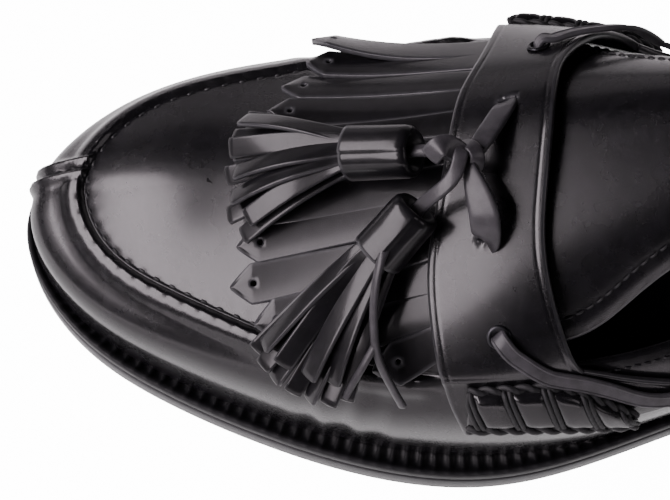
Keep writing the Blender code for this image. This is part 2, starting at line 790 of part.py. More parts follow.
def ribbon_mesh(name, spots, normals, widths, thickness):
    """A flat strip with its middle on a path."""
    points = []
    count = len(spots)
    for i in range(count):
        run = np.array(spots[min(i + 1, count - 1)]) - np.array(spots[max(i - 1, 0)])
        across = np.cross(normals[i], run)
        across /= np.linalg.norm(across)
        up = np.cross(run, across)
        up /= np.linalg.norm(up)
        half = across * widths[i] / 2
        spot = np.array(spots[i])
        rise = up * thickness / 2
        points += [spot - half - rise, spot + half - rise, spot + half + rise, spot - half + rise]
    faces = []
    for i in range(count - 1):
        for j in range(4):
            k = (j + 1) % 4
            faces.append((4 * i + j, 4 * i + k, 4 * i + 4 + k, 4 * i + 4 + j))
    faces.append((3, 2, 1, 0))
    end = 4 * (count - 1)
    faces.append((end, end + 1, end + 2, end + 3))
    mesh = make_mesh(name, points, faces, merge=0.000001)
    face_out(mesh)
    return mesh


# Route of the flat collar lace on each side: x and girth.
LACE_ROUTE = {
    "lateral": [(34.4, 1.08), (32.2, 1.05), (29.6, 1.02), (25.6, 0.99), (19.7, 0.95), (12.7, 0.87), (5.8, 0.77),
                (-2.0, 0.71), (-14.0, 0.69), (-45.0, 0.7), (-80.0, 0.75), (-110.0, 0.81)],
    "medial": [(23.6, 1.38), (20.0, 1.33), (16.0, 1.29), (10.0, 1.22), (4.5, 1.12), (-1.0, 1.02), (-7.0, 0.94),
               (-14.0, 0.88), (-24.0, 0.83), (-50.0, 0.78), (-80.0, 0.78), (-110.0, 0.82)],
}
LACE_LAY = 0.7


def lace_lift(side, x, girth):
    """How far the lace lies over the last: over the saddle, then down on to the quarter."""
    rows = sorted((row for row in SADDLE if row.side == side), key=lambda row: row.girth)
    girths = [row.girth for row in rows]
    rear = np.interp(girth, girths, [row.rear for row in rows])
    over = np.interp(girth, girths, [row.lift for row in rows]) + SADDLE_THICKNESS + LAY + 0.15
    return LACE_LAY + (over - LACE_LAY) * smooth((x - rear + 12.0) / 6.0)


def lace_path():
    """Places, girths and lifts of the collar lace, from eyelet round the heel to eyelet."""
    rows = [(place_at(x, 1), girth, lace_lift(1, x, girth)) for x, girth in LACE_ROUTE["lateral"]]
    rows += [(place, 0.845, LACE_LAY) for place in (0.9, 0.0, -0.9)]
    rows += [(place_at(x, -1) - ROUND, girth, lace_lift(-1, x, girth))
             for x, girth in reversed(LACE_ROUTE["medial"])]
    return rows


def make_collar_lace(parts):
    """Flat lace lying on the quarters a little below the topline."""
    rows = lace_path()
    index = range(len(rows))
    columns = [line_spline(index, [row[k] for row in rows]) for k in range(3)]
    spots = []
    normals = []
    for step in np.linspace(0, len(rows) - 1, 72):
        place, girth, lift = (column(step) for column in columns)
        normal = last_normal(place % ROUND, girth)
        spots.append(last_point(place % ROUND, girth) + normal * (max(lift, LACE_LAY) + LACE_THICKNESS / 2))
        normals.append(normal)
    mesh = ribbon_mesh("collar_lace", spots, normals, [LACE_WIDTH] * len(spots), LACE_THICKNESS)
    add_part(parts, "collar_lace", mesh, finish("collar_lace", (0.01, 0.01, 0.012), 0.25))


def on_saddle(x, y, height):
    """Point over the saddle's outer face."""
    return drape(x, y, KILTIE_COVER + SADDLE_THICKNESS + height)


# The knot on the saddle, x and y, with its half sizes, and the two tassel caps from top to mouth.
KNOT = (48.0, 5.5)
KNOT_HALF = (4.2, 6.0, 4.2)
KNOT_RISE = 5.6
CAP_FRONT = ((57.5, 1.6, 75.0), (71.6, -1.8, 67.6))
CAP_SIDE = ((56.8, 14.2, 72.7), (65.6, 21.4, 64.2))
CAP_TOP_RADIUS = 5.4
CAP_MOUTH_RADIUS = 6.0


def curve_spots(points, count):
    """Points along a smooth curve through the given ones."""
    index = range(len(points))
    splines = [line_spline(index, [point[k] for point in points]) for k in range(3)]
    return [np.array([spline(step) for spline in splines]) for step in np.linspace(0, len(points) - 1, count)]


def make_knot(parts, cutters):
    """Flat tie from slot to slot with its knot, and the cords to the two tassels."""
    centre = on_saddle(*KNOT, KNOT_RISE)[0]
    name = "thong_knot"
    bpy.ops.mesh.primitive_uv_sphere_add(segments=14, ring_count=8, radius=MM)
    knot = bpy.context.active_object
    knot.name = name
    for vertex in knot.data.vertices:
        vertex.co = Vector([vertex.co[k] * KNOT_HALF[k] for k in range(3)])
    knot.data.transform(Matrix.Translation(Vector(centre) * MM))
    knot.data.materials.append(finish(name, (0.01, 0.01, 0.012), 0.25))
    knot.data.shade_smooth()
    move_to(parts, knot)
    for band, slot in (("band_top", SLOT_TOP), ("band_low", SLOT_LOW)):
        path = []
        for share, height in ((0.0, 1.25), (0.3, 1.7), (0.6, 3.0)):
            x, y = (slot[k] + (KNOT[k] - slot[k]) * share for k in (0, 1))
            path.append(on_saddle(x, y, height)[0])
        spots = curve_spots(path + [centre], 10)
        mesh = ribbon_mesh(band, spots, [on_saddle(*slot, 0.0)[1]] * 10, [THONG_WIDTH] * 10, THONG_THICKNESS)
        combine(knot, add_cutter(cutters, band, mesh), "UNION")
    for band, (start, end) in (("neck_front", CAP_FRONT), ("neck_side", CAP_SIDE)):
        start, end = np.array(start), np.array(end)
        run = (end - start) / np.linalg.norm(end - start)
        spots = [centre, (centre + start) / 2 + (0, 0, 0.6), start - run * 1.3]
        spots = curve_spots(spots, 6)
        mesh = ribbon_mesh(band, spots, [np.array([0.1, 0.0, 1.0])] * 6, [2.6] * 6, 1.8)
        combine(knot, add_cutter(cutters, band, mesh), "UNION")
    tail = [centre, on_saddle(49.0, 15.0, 2.6)[0], on_saddle(50.5, 24.0, 1.6)[0], drape(54.5, 33.0, 6.2)[0],
            drape(58.0, 41.0, 6.0)[0], np.array([57.5, 48.0, 38.0])]
    spots = curve_spots(tail, 12)
    mesh = ribbon_mesh("tail", spots, [np.array([0.8, 0.4, 0.6])] * 12, [2.4] * 12, 1.2)
    combine(knot, add_cutter(cutters, "tail", mesh), "UNION")


# Tips of the tassel strips. The last OVER ones of each tassel lie over the others.
OVER = 3
STRIP_WIDTHS = [3.4, 4.0, 4.8, 5.4, 5.6, 4.8]
STRIP_THICKNESS = 1.1
Tip = namedtuple("Tip", "x y z")
FRONT_TIPS = [Tip(95.5, -17.5, 54.0), Tip(98.0, -12.0, 54.0), Tip(99.0, -6.0, 53.5), Tip(99.0, 0.0, 53.0),
              Tip(98.0, 6.0, 52.5), Tip(95.5, 11.5, 52.5), Tip(97.0, -14.5, 58.0), Tip(98.0, -3.0, 57.0),
              Tip(96.5, 8.5, 56.5)]
SIDE_TIPS = [Tip(92.0, 37.0, 45.5), Tip(90.0, 41.0, 44.5), Tip(86.0, 44.0, 43.5), Tip(82.0, 46.5, 43.0),
             Tip(77.0, 47.5, 43.0), Tip(72.5, 47.0, 44.5), Tip(89.0, 38.0, 49.0), Tip(82.5, 42.5, 48.0),
             Tip(75.5, 44.5, 48.0)]


def make_tassel(parts, cutters, name, cap, tips):
    """Tassel: a tapered cap with strips fused into its open end."""
    start, end = Vector(cap[0]), Vector(cap[1])
    run = (end - start).normalized()
    mesh = drum_mesh(name, CAP_TOP_RADIUS, CAP_MOUTH_RADIUS, (end - start).length, segments=18)
    mesh.transform(Matrix.Translation((start + end) / 2 * MM) @ run.to_track_quat("Z", "Y").to_matrix().to_4x4())
    part = add_part(parts, name, mesh, finish(name, (0.01, 0.01, 0.012), 0.2))
    side = Vector((0, 0, 1)).cross(run).normalized()
    up = run.cross(side)
    middle = sum((Vector(tip) for tip in tips), Vector()) / len(tips)
    for number, tip in enumerate(tips):
        tip = Vector(tip)
        reach = max(-3.6, min(3.6, (tip - middle).dot(side) * 0.3))
        layer = 1.9 if number >= len(tips) - OVER else -1.6
        root = end - run * 3.0 + side * reach + up * (layer + 0.07 * number)
        leave = end + run * 3.5 + side * reach * 1.25 + up * (layer + 0.05 * number)
        spots = curve_spots([root, leave, (leave + tip) / 2 + up * 1.2, tip], 6)
        strip = ribbon_mesh(name + "_strip", spots, [np.array(up)] * 6, STRIP_WIDTHS, STRIP_THICKNESS)
        cutter = add_cutter(cutters, f"{name}_strip_{number}", strip)
        combine(part, cutter, "UNION")


def main():
    """Build every sub-part of the shoe."""
    clear_scene()
    parts = bpy.data.collections.new("kiltie_loafer")
    cutters = bpy.data.collections.new("cutters")
    for collection in (parts, cutters):
        bpy.context.scene.collection.children.link(collection)
    make_sole(parts)
    make_upper(parts)
    make_tongue(parts)
    make_kiltie(parts)
    make_saddle(parts, cutters)
    for side_name, (side, front, rear) in ROLLS.items():
        make_beef_roll(parts, side_name, side, front, rear)
    make_collar_lace(parts)
    make_knot(parts, cutters)
    make_tassel(parts, cutters, "tassel_front", CAP_FRONT, FRONT_TIPS)
    make_tassel(parts, cutters, "tassel_side", CAP_SIDE, SIDE_TIPS)


main()
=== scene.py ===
"""Looks of the kiltie loafer, the left shoe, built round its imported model.

+X points to the toe, +Y to the outer (lateral) side, +Z up. Shapes are worked out in millimetres and
turned into metres when a mesh is made.
"""
import logging
import math
from dataclasses import dataclass, field
from enum import Enum
from typing import Callable, NamedTuple, Optional, Sequence

import bpy
import numpy as np
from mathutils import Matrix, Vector
from mathutils.bvhtree import BVHTree


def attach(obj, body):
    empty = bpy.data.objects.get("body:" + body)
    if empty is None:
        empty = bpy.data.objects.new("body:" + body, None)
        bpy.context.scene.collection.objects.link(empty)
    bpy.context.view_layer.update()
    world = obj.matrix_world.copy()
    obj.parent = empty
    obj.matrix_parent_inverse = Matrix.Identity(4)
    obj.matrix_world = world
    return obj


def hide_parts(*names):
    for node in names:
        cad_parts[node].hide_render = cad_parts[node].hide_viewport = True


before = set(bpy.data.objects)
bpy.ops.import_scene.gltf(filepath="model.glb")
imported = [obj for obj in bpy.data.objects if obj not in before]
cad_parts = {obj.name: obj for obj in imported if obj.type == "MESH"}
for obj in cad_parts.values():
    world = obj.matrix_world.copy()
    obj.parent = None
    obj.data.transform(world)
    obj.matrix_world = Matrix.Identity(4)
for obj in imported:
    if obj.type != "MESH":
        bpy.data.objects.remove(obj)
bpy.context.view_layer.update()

Array = np.ndarray
MM = 0.001
log = logging.getLogger("kiltie_loafer")

# Driving sizes of the shoe, as in the part's source
HALF_LENGTH = 151.0
OUTSOLE = 6.3
WELT = 3.2
GAP = 0.3
WALL = 2.0
HEEL_HEIGHT = 17.5
HEEL_BREAST_X = -75.0
TOP_PIECE = 6.0
TOE_SPRING = 9.0
TREAD_X = (50.0, 75.0)
THROAT_X = 35.0
TOE_FOCUS_X = 104.0
SWELL_AT = 0.42
INSOLE_RISE = 2.8
KILTIE_THICKNESS = 1.4
SADDLE_THICKNESS = 1.9
LAY = 0.45
KILTIE_COVER = LAY + KILTIE_THICKNESS + LAY


class Side(Enum):
    """The two sides of the shoe, with the sign of their Y."""

    LATERAL = 1
    MEDIAL = -1


class Section(NamedTuple):
    """One section of the last, heel to toe: where the upper meets the welt, and its wall."""

    place: str
    x: float
    lateral_y: float
    medial_y: float
    lateral_welt: float
    medial_welt: float
    swell: float
    lateral_lean: float
    medial_lean: float
    lateral_top: float
    medial_top: float


LAST_SECTIONS = [
    Section("heel back", -147.6, -5.0, -5.0, 2.0, 2.0, 3.4, 2.0, 2.0, 85.0, 85.0),
    Section("heel turn", -139.0, 17.5, -27.5, 2.0, 2.0, 3.2, 3.0, 3.0, 82.0, 82.5),
    Section("heel side", -116.0, 28.5, -38.5, 2.2, 2.2, 2.8, 5.0, 5.0, 72.0, 73.5),
    Section("heel front", -86.0, 30.0, -38.5, 2.2, 2.2, 2.2, 6.0, 6.0, 61.5, 64.0),
    Section("waist rear", -55.0, 31.0, -34.8, 2.4, 2.0, 2.2, 6.0, 6.0, 54.0, 57.5),
    Section("waist", -24.0, 35.0, -34.2, 2.6, 2.0, 2.6, 6.0, 6.0, 49.5, 53.5),
    Section("waist front", 6.0, 43.9, -42.2, 2.6, 2.3, 2.2, 5.7, 5.6, 47.5, 52.0),
    Section("ball rear", 34.0, 48.6, -48.4, 4.7, 3.7, 1.5, 6.3, 6.6, 48.0, 50.5),
    Section("ball", 62.0, 46.7, -49.8, 5.2, 3.9, 1.3, 6.4, 8.2, 42.0, 44.0),
    Section("forefoot", 90.0, 38.6, -47.8, 5.0, 4.1, 1.2, 8.3, 9.5, 39.0, 40.5),
    Section("toe side", 115.5, 28.0, -41.9, 4.7, 3.9, 1.0, 10.2, 8.6, 37.0, 38.0),
    Section("toe turn", 136.7, 14.2, -29.2, 3.8, 3.6, 0.8, 11.5, 9.5, 35.3, 35.8),
    Section("toe tip", 148.2, -8.0, -8.0, 2.8, 2.8, 0.7, 13.2, 13.2, 34.5, 34.5),
]
HALF_ROUND = len(LAST_SECTIONS) - 1
ROUND = 2 * HALF_ROUND
SPINE_X = (-40.0, -28.0, -10.0, 10.0, 28.0, 45.0, 60.0, 80.0, 104.0, 125.0)
SPINE_Z = (98.0, 95.0, 89.6, 82.5, 75.4, 68.4, 62.2, 54.6, 46.8, 41.5)


def hermite(start: Array, end: Array, start_slope: Array, end_slope: Array, share: Array) -> Array:
    """Cubic between two values with given slopes.

    Args:
        start, end: the values at share 0 and 1.
        start_slope, end_slope: the slopes there, per unit of share.
        share: how far along.

    Returns:
        The values at share.
    """
    s2 = share * share
    s3 = s2 * share
    return ((2 * s3 - 3 * s2 + 1) * start + (s3 - 2 * s2 + share) * start_slope
            + (3 * s2 - 2 * s3) * end + (s3 - s2) * end_slope)


def ease(share: Array) -> Array:
    """Ease from 0 to 1."""
    share = np.clip(share, 0.0, 1.0)
    return share * share * (3 - 2 * share)


def hump(distance: Array, width: Array) -> Array:
    """A rounded hump, 1 at distance 0 and nearly gone at twice the width."""
    return np.exp(-(distance / width) ** 2)


def unit(vectors: Array) -> Array:
    """The same directions at length 1."""
    return vectors / np.maximum(np.linalg.norm(vectors, axis=-1, keepdims=True), 1e-12)


def arc_lengths(path: Array) -> Array:
    """Distance along a line at each of its points."""
    return np.concatenate([[0], np.cumsum(np.linalg.norm(np.diff(path, axis=0), axis=1))])


def loop_lengths(line: Array) -> Array:
    """Distance round a closed line at each of its points, and back at its start."""
    steps = np.linalg.norm(np.diff(line, axis=0, append=line[:1]), axis=1)
    return np.concatenate([[0], np.cumsum(steps)])


class LoopSpline:
    """A smooth curve through values set round a closed loop, one a unit."""

    def __init__(self, values: Sequence[float]) -> None:
        """Work out the slopes at the given values."""
        self.values = np.array(values, float)
        count = len(self.values)
        system = 4 * np.eye(count) + np.roll(np.eye(count), 1, 0) + np.roll(np.eye(count), -1, 0)
        self.slopes = np.linalg.solve(system, 3 * (np.roll(self.values, -1) - np.roll(self.values, 1)))

    def __call__(self, place: Array) -> Array:
        """Values at places round the loop."""
        place = np.asarray(place, float)
        index = np.floor(place).astype(int)
        a = index % len(self.values)
        b = (index + 1) % len(self.values)
        return hermite(self.values[a], self.values[b], self.slopes[a], self.slopes[b], place - index)


class LineSpline:
    """A natural cubic spline through points in order of x; y may be single numbers or rows."""

    def __init__(self, xs: Sequence[float], ys: Sequence) -> None:
        """Work out the slopes at the given points."""
        order = np.argsort(xs)
        self.xs = np.array(xs, float)[order]
        self.ys = np.array(ys, float)[order]
        self.flat = self.ys.ndim == 1
        if self.flat:
            self.ys = self.ys[:, None]
        count = len(self.xs)
        self.steps = np.diff(self.xs)
        rises = np.diff(self.ys, axis=0) / self.steps[:, None]
        system = np.zeros((count, count))
        right = np.zeros_like(self.ys)
        system[0, 0:2] = (2, 1)
        right[0] = 3 * rises[0]
        system[-1, -2:] = (1, 2)
        right[-1] = 3 * rises[-1]
        for i in range(1, count - 1):
            before, after = self.steps[i - 1], self.steps[i]
            system[i, i - 1:i + 2] = (after, 2 * (before + after), before)
            right[i] = 3 * (after * rises[i - 1] + before * rises[i])
        self.slopes = np.linalg.solve(system, right)

    def __call__(self, x: Array) -> Array:
        """Values at x."""
        x = np.asarray(x, float)
        i = np.clip(np.searchsorted(self.xs, x) - 1, 0, len(self.xs) - 2)
        share = ((x - self.xs[i]) / self.steps[i])[..., None]
        step = self.steps[i][..., None]
        found = hermite(self.ys[i], self.ys[i + 1], self.slopes[i] * step, self.slopes[i + 1] * step, share)
        return found[..., 0] if self.flat else found


def curve_through(points: Sequence, count: int) -> Array:
    """Evenly numbered points along a smooth curve.

    Args:
        points: the rows that the curve passes, of any width.
        count: how many rows to return.

    Returns:
        The rows along the curve.
    """
    spline = LineSpline(range(len(points)), points)
    return spline(np.linspace(0, len(points) - 1, count))


class Last:
    """The form of the foot that every leather is drawn over."""

    def __init__(self) -> None:
        """Make the splines, the table from x to place and the height map of the instep."""
        self.x = self.around("x", "x")
        self.y = self.around("lateral_y", "medial_y")
        self.welt = self.around("lateral_welt", "medial_welt")
        self.swell = self.around("swell", "swell")
        self.lean = self.around("lateral_lean", "medial_lean")
        self.top_height = self.around("lateral_top", "medial_top")
        self.spine_height = LineSpline(SPINE_X, SPINE_Z)
        self.half_places = np.linspace(0, HALF_ROUND, 4000)
        self.half_xs = self.x(self.half_places)
        a = SWELL_AT
        self.wall_fit = np.linalg.inv(np.array([[a, a ** 2, a ** 3], [1, 2 * a, 3 * a ** 2], [1, 1, 1]]))
        self.map_x = np.arange(-50.0, 116.0, 1.0)
        self.map_y = np.arange(-60.0, 61.0, 1.0)
        self.map_z = self.height_map()

    @staticmethod
    def around(lateral: str, medial: str) -> LoopSpline:
        """Spline of a column of the sections, up the lateral side and back down the medial one."""
        up = [getattr(row, lateral) for row in LAST_SECTIONS]
        down = [getattr(row, medial) for row in reversed(LAST_SECTIONS[1:-1])]
        return LoopSpline(up + down)

    def under(self, x: Array) -> Array:
        """Height of the outsole's underside: toe spring, flat tread, arch, then the heel seat."""
        spring = TOE_SPRING * (np.maximum(x - TREAD_X[1], 0.0) / (HALF_LENGTH - TREAD_X[1])) ** 2
        rise = ease((TREAD_X[0] - x) / (TREAD_X[0] - HEEL_BREAST_X))
        return spring + HEEL_HEIGHT * rise + 0.013 * np.maximum(HEEL_BREAST_X - x, 0.0)

    def outline(self, place: Array, offset: Array = 0.0) -> tuple[Array, Array]:
        """The line where upper and welt meet.

        Args:
            place: places round the last.
            offset: how far outward to move it.

        Returns:
            Points and outward directions, both in the plane of the floor.
        """
        step = 0.01
        run = np.stack([self.x(place + step) - self.x(place - step),
                        self.y(place + step) - self.y(place - step)], axis=-1)
        out = unit(np.stack([-run[..., 1], run[..., 0]], axis=-1))
        spot = np.stack([self.x(place), self.y(place)], axis=-1)
        return spot + out * np.asarray(offset)[..., None], out

    def place_at(self, x: Array, side: Side) -> Array:
        """Places with this x on one side."""
        place = np.interp(x, self.half_xs, self.half_places)
        return place if side is Side.LATERAL else ROUND - place

    def wall(self, place: Array, girth: Array) -> Array:
        """Points on the outer wall, girth 0 at the welt and 1 at its top edge."""
        foot, out = self.outline(place)
        base = self.under(foot[..., 0]) + OUTSOLE + WELT + GAP
        swell = self.swell(place)
        ends = np.stack([swell, np.zeros_like(swell), -self.lean(place)], axis=-1)
        fit = ends @ self.wall_fit.T
        stand = fit[..., 0] * girth + fit[..., 1] * girth ** 2 + fit[..., 2] * girth ** 3
        spot = foot + out * stand[..., None]
        height = base + (self.top_height(place) - base) * girth
        return np.concatenate([spot, height[..., None]], axis=-1)

    def spine(self, place: Array) -> tuple[Array, Array]:
        """Where the cross lines from these places meet the middle of the shoe, and the slope there."""
        x = self.x(place)
        x = x - 6.0 * np.log1p(np.exp(np.minimum((x - TOE_FOCUS_X) / 6.0, 40.0)))
        slope = self.spine_height(x + 0.5) - self.spine_height(x - 0.5)
        return np.stack([x, -3.0 - 0.04 * (x - THROAT_X), self.spine_height(x)], axis=-1), slope

    def top(self, place: Array, share: Array) -> Array:
        """Points over the instep, share 0 at the wall's top edge and 1 at the middle."""
        edge = self.wall(place, np.ones_like(np.asarray(share, float)))
        middle, slope = self.spine(place)
        rise = middle[..., 2] - edge[..., 2]
        spot = edge + (middle - edge) * np.asarray(share)[..., None]
        shoulder = 1.6 + 0.75 * ease((TREAD_X[0] - middle[..., 0]) / 60.0)
        end_slope = slope * (middle[..., 0] - edge[..., 0]) / rise
        spot[..., 2] = edge[..., 2] + rise * hermite(0.0, 1.0, shoulder, end_slope, share)
        return spot

    def point(self, place: Array, girth: Array) -> Array:
        """Points on the outside of the last: 0 to 1 up the wall, 1 to 2 on to the middle."""
        place, girth = np.broadcast_arrays(np.asarray(place, float), np.asarray(girth, float))
        low = self.wall(place, np.minimum(girth, 1.0))
        high = self.top(place, np.maximum(girth - 1.0, 0.0))
        return np.where((girth <= 1.0)[..., None], low, high)

    def normal(self, place: Array, girth: Array, reach: float = 0.03) -> Array:
        """Outward directions of the last."""
        along = self.point(place + reach, girth) - self.point(place - reach, girth)
        up = self.point(place, girth + reach) - self.point(place, girth - reach)
        return unit(np.cross(up, along))

    def height_map(self) -> Array:
        """Heights of the last over a grid of the floor, for laying pieces on by x and y."""
        half = self.place_at(np.arange(-52.0, 112.0, 1.6), Side.LATERAL)
        half = np.concatenate([half, np.linspace(half[-1], HALF_ROUND, 24)[1:]])
        places = np.concatenate([half, ROUND - half[-2::-1]])
        girths = np.concatenate([np.linspace(0.25, 1.0, 18), np.linspace(1.0, 2.0, 30)[1:]])
        points = self.point(places[:, None], girths[None, :])
        faces = grid_faces(len(places), len(girths))
        tree = BVHTree.FromPolygons(points.reshape(-1, 3).tolist(), faces.tolist())
        heights = np.full((len(self.map_x), len(self.map_y)), 20.0)
        down = Vector((0, 0, -1))
        for i, x in enumerate(self.map_x):
            for j, y in enumerate(self.map_y):
                hit = tree.ray_cast(Vector((x, y, 200.0)), down)[0]
                if hit:
                    heights[i, j] = hit.z
        return heights

    def height(self, x: Array, y: Array) -> Array:
        """Height of the last over points of the floor."""
        u = np.clip(x - self.map_x[0], 0, len(self.map_x) - 1.001)
        v = np.clip(y - self.map_y[0], 0, len(self.map_y) - 1.001)
        i, j = u.astype(int), v.astype(int)
        u, v = u - i, v - j
        near = self.map_z[i, j] * (1 - u) + self.map_z[i + 1, j] * u
        far = self.map_z[i, j + 1] * (1 - u) + self.map_z[i + 1, j + 1] * u
        return near * (1 - v) + far * v

    def drape(self, x: Array, y: Array, lift: Array) -> tuple[Array, Array]:
        """Lay points over the last.

        Args:
            x, y: where they lie, seen from above.
            lift: how far out along the surface's own direction.

        Returns:
            The points and the outward directions there.
        """
        x, y = np.broadcast_arrays(np.asarray(x, float), np.asarray(y, float))
        reach = 2.5
        slope_x = (self.height(x + reach, y) - self.height(x - reach, y)) / (2 * reach)
        slope_y = (self.height(x, y + reach) - self.height(x, y - reach)) / (2 * reach)
        normal = unit(np.stack([-slope_x, -slope_y, np.ones_like(slope_x)], axis=-1))
        spot = np.stack([x, y, self.height(x, y)], axis=-1)
        return spot + normal * np.asarray(lift)[..., None], normal


def grid_faces(rows: int, columns: int, wrap_rows: bool = False, wrap_columns: bool = False) -> Array:
    """Four-sided faces of a grid of points stored row by row.

    Args:
        rows, columns: how many points each way.
        wrap_rows, wrap_columns: whether the last row or column joins the first.

    Returns:
        The faces, one a row.
    """
    i = np.arange(rows if wrap_rows else rows - 1)[:, None]
    j = np.arange(columns if wrap_columns else columns - 1)[None, :]
    after_i, after_j = (i + 1) % rows, (j + 1) % columns
    corners = [i * columns + j, i * columns + after_j, after_i * columns + after_j, after_i * columns + j]
    return np.stack([corner.ravel() for corner in np.broadcast_arrays(*corners)], axis=1)


@dataclass
class Shape:
    """Points in millimetres with faces, and how much each point lies on a cut edge."""

    points: Array
    faces: Array
    edge: Optional[Array] = None

    def turned(self, normals: Array) -> "Shape":
        """The same shape with its faces looking along the normals given at its points."""
        corners = self.points[self.faces]
        face_normal = np.cross(corners[:, 2] - corners[:, 0], corners[:, 3] - corners[:, 1])
        along = np.einsum("ij,ij->", face_normal, normals[self.faces].mean(axis=1))
        return self if along > 0 else Shape(self.points, self.faces[:, ::-1], self.edge)


def grid_shape(points: Array, normals: Array, wrap_rows: bool = False, wrap_columns: bool = False,
               edge: Optional[Array] = None) -> Shape:
    """A shape from a grid of points, with its faces looking along the normals.

    Args:
        points: rows and columns of points.
        normals: the directions at them.
        wrap_rows, wrap_columns: whether the last row or column joins the first.
        edge: how much each point lies on a cut edge.

    Returns:
        The shape.
    """
    faces = grid_faces(*points.shape[:2], wrap_rows, wrap_columns)
    shape = Shape(points.reshape(-1, 3), faces, None if edge is None else edge.ravel())
    return shape.turned(normals.reshape(-1, 3))


def loose_edges(faces: Array, count: int) -> tuple[Array, Array]:
    """Edges of a sheet that only one face has.

    Args:
        faces: the sheet's faces.
        count: how many points it has.

    Returns:
        The numbers of their first and of their last points.
    """
    starts = faces.ravel()
    ends = np.roll(faces, -1, axis=1).ravel()
    loose = ~np.isin(starts * count + ends, ends * count + starts)
    return starts[loose], ends[loose]


def join(shapes: Sequence[Shape]) -> Shape:
    """Several shapes as one."""
    start = 0
    faces = []
    for shape in shapes:
        faces.append(shape.faces + start)
        start += len(shape.points)
    edges = [np.zeros(len(s.points)) if s.edge is None else s.edge for s in shapes]
    return Shape(np.concatenate([s.points for s in shapes]), np.concatenate(faces), np.concatenate(edges))


def slab(points: Array, normals: Array, faces: Array, thickness: float, square: float = 0.55) -> Shape:
    """Close a sheet into leather of one thickness with softly rounded edges.

    Args:
        points, normals: the sheet's inner face and its outward directions.
        faces: the sheet's faces.
        thickness: of the leather.
        square: from 1, a round edge, down to a squarer one.

    Returns:
        The closed shape.
    """
    sheet = Shape(points, faces).turned(normals)
    faces = sheet.faces
    count = len(points)
    starts, ends = loose_edges(faces, count)
    run = unit(points[ends] - points[starts])
    out = np.zeros_like(points)
    for index in (starts, ends):
        np.add.at(out, index, np.cross(run, normals[index]))
    out = unit(out)
    half = thickness / 2
    middle = points + normals * half
    rims = np.unique(starts)
    number = np.full(count, -1)
    number[rims] = np.arange(len(rims))
    steps = 6
    rings = [np.arange(count)]
    all_points = [points + normals * thickness]
    edge = [np.isin(np.arange(count), rims) * 0.6]
    place = count
    for step in range(1, steps):
        turn = math.pi * step / steps
        rise = math.copysign(abs(math.cos(turn)) ** square, math.cos(turn)) * half
        reach = math.sin(turn) ** square * half * 0.8
        all_points.append(middle[rims] + normals[rims] * rise + out[rims] * reach)
        edge.append(np.ones(len(rims)))
        rings.append(np.where(number >= 0, number + place, -1))
        place += len(rims)
    all_points.append(points)
    edge.append(np.isin(np.arange(count), rims) * 0.6)
    rings.append(np.arange(count) + place)
    solid = [faces, faces[:, ::-1] + place]
    for upper, lower in zip(rings, rings[1:]):
        solid.append(np.stack([upper[starts], lower[starts], lower[ends], upper[ends]], axis=1))
    return Shape(np.concatenate(all_points), np.concatenate(solid), np.concatenate(edge))


def punch(points: Array, faces: Array, start: Array, end: Array, radius: float) -> tuple[Array, Array]:
    """Punch a hole or slot through a sheet.

    Args:
        points, faces: the sheet.
        start, end: the middle line of the slot, the same point twice for a round hole.
        radius: half the slot's width.

    Returns:
        The moved points and the faces that are left.
    """
    start, end = np.asarray(start, float), np.asarray(end, float)
    run = end - start
    length = float(run @ run)

    def near(spots: Array) -> Array:
        share = np.clip((spots - start) @ run / length, 0, 1) if length > 1e-9 else np.zeros(len(spots))
        return start + share[:, None] * run
    centres = points[faces].mean(axis=1)
    inside = np.linalg.norm(centres - near(centres), axis=1) < radius
    left = faces[~inside]
    rim = np.intersect1d(faces[inside].ravel(), left.ravel())
    away = points[rim] - near(points[rim])
    moved = points.copy()
    moved[rim] = near(points[rim]) + unit(away) * radius
    return moved, left


def swept(spots: Array, normals: Array, widths: Array, heights: Array, square: float = 0.5,
          sides: int = 16) -> Shape:
    """A band or cord along a path, closed at both ends.

    Args:
        spots: the path of its middle.
        normals: which way its broad face looks.
        widths, heights: its full size across and through.
        square: 1 for an oval section, smaller for a flat band.
        sides: points round the section.

    Returns:
        The closed shape.
    """
    spots = np.asarray(spots, float)
    run = unit(np.gradient(spots, axis=0))
    across = unit(np.cross(normals, run))
    up = np.cross(run, across)
    widths = np.broadcast_to(np.asarray(widths, float), len(spots)).copy()
    heights = np.broadcast_to(np.asarray(heights, float), len(spots)).copy()
    ends = ((0.0, 1), (0.62, 0.62), (0.88, 0.25))
    rows = [(0, scale, -back) for scale, back in ends] + [(i, 1.0, 0.0) for i in range(len(spots))]
    rows += [(len(spots) - 1, scale, back) for scale, back in reversed(ends)]
    turn = np.linspace(0, 2 * math.pi, sides, endpoint=False)
    wide = np.sign(np.cos(turn)) * np.abs(np.cos(turn)) ** square / 2
    tall = np.sign(np.sin(turn)) * np.abs(np.sin(turn)) ** square / 2
    points = []
    for i, scale, back in rows:
        centre = spots[i] + run[i] * back * heights[i] / 2
        scale = max(scale, 0.02)
        points.append(centre + across[i] * (wide * widths[i] * scale)[:, None]
                      + up[i] * (tall * heights[i] * scale)[:, None])
    points = np.concatenate(points)
    faces = grid_faces(len(rows), sides, wrap_columns=True)
    edge = np.tile(np.abs(np.cos(turn)) ** 6, len(rows))
    centres = np.repeat(np.array([spots[i] for i, _, _ in rows]), sides, axis=0)
    return Shape(points, faces, edge).turned(points - centres)


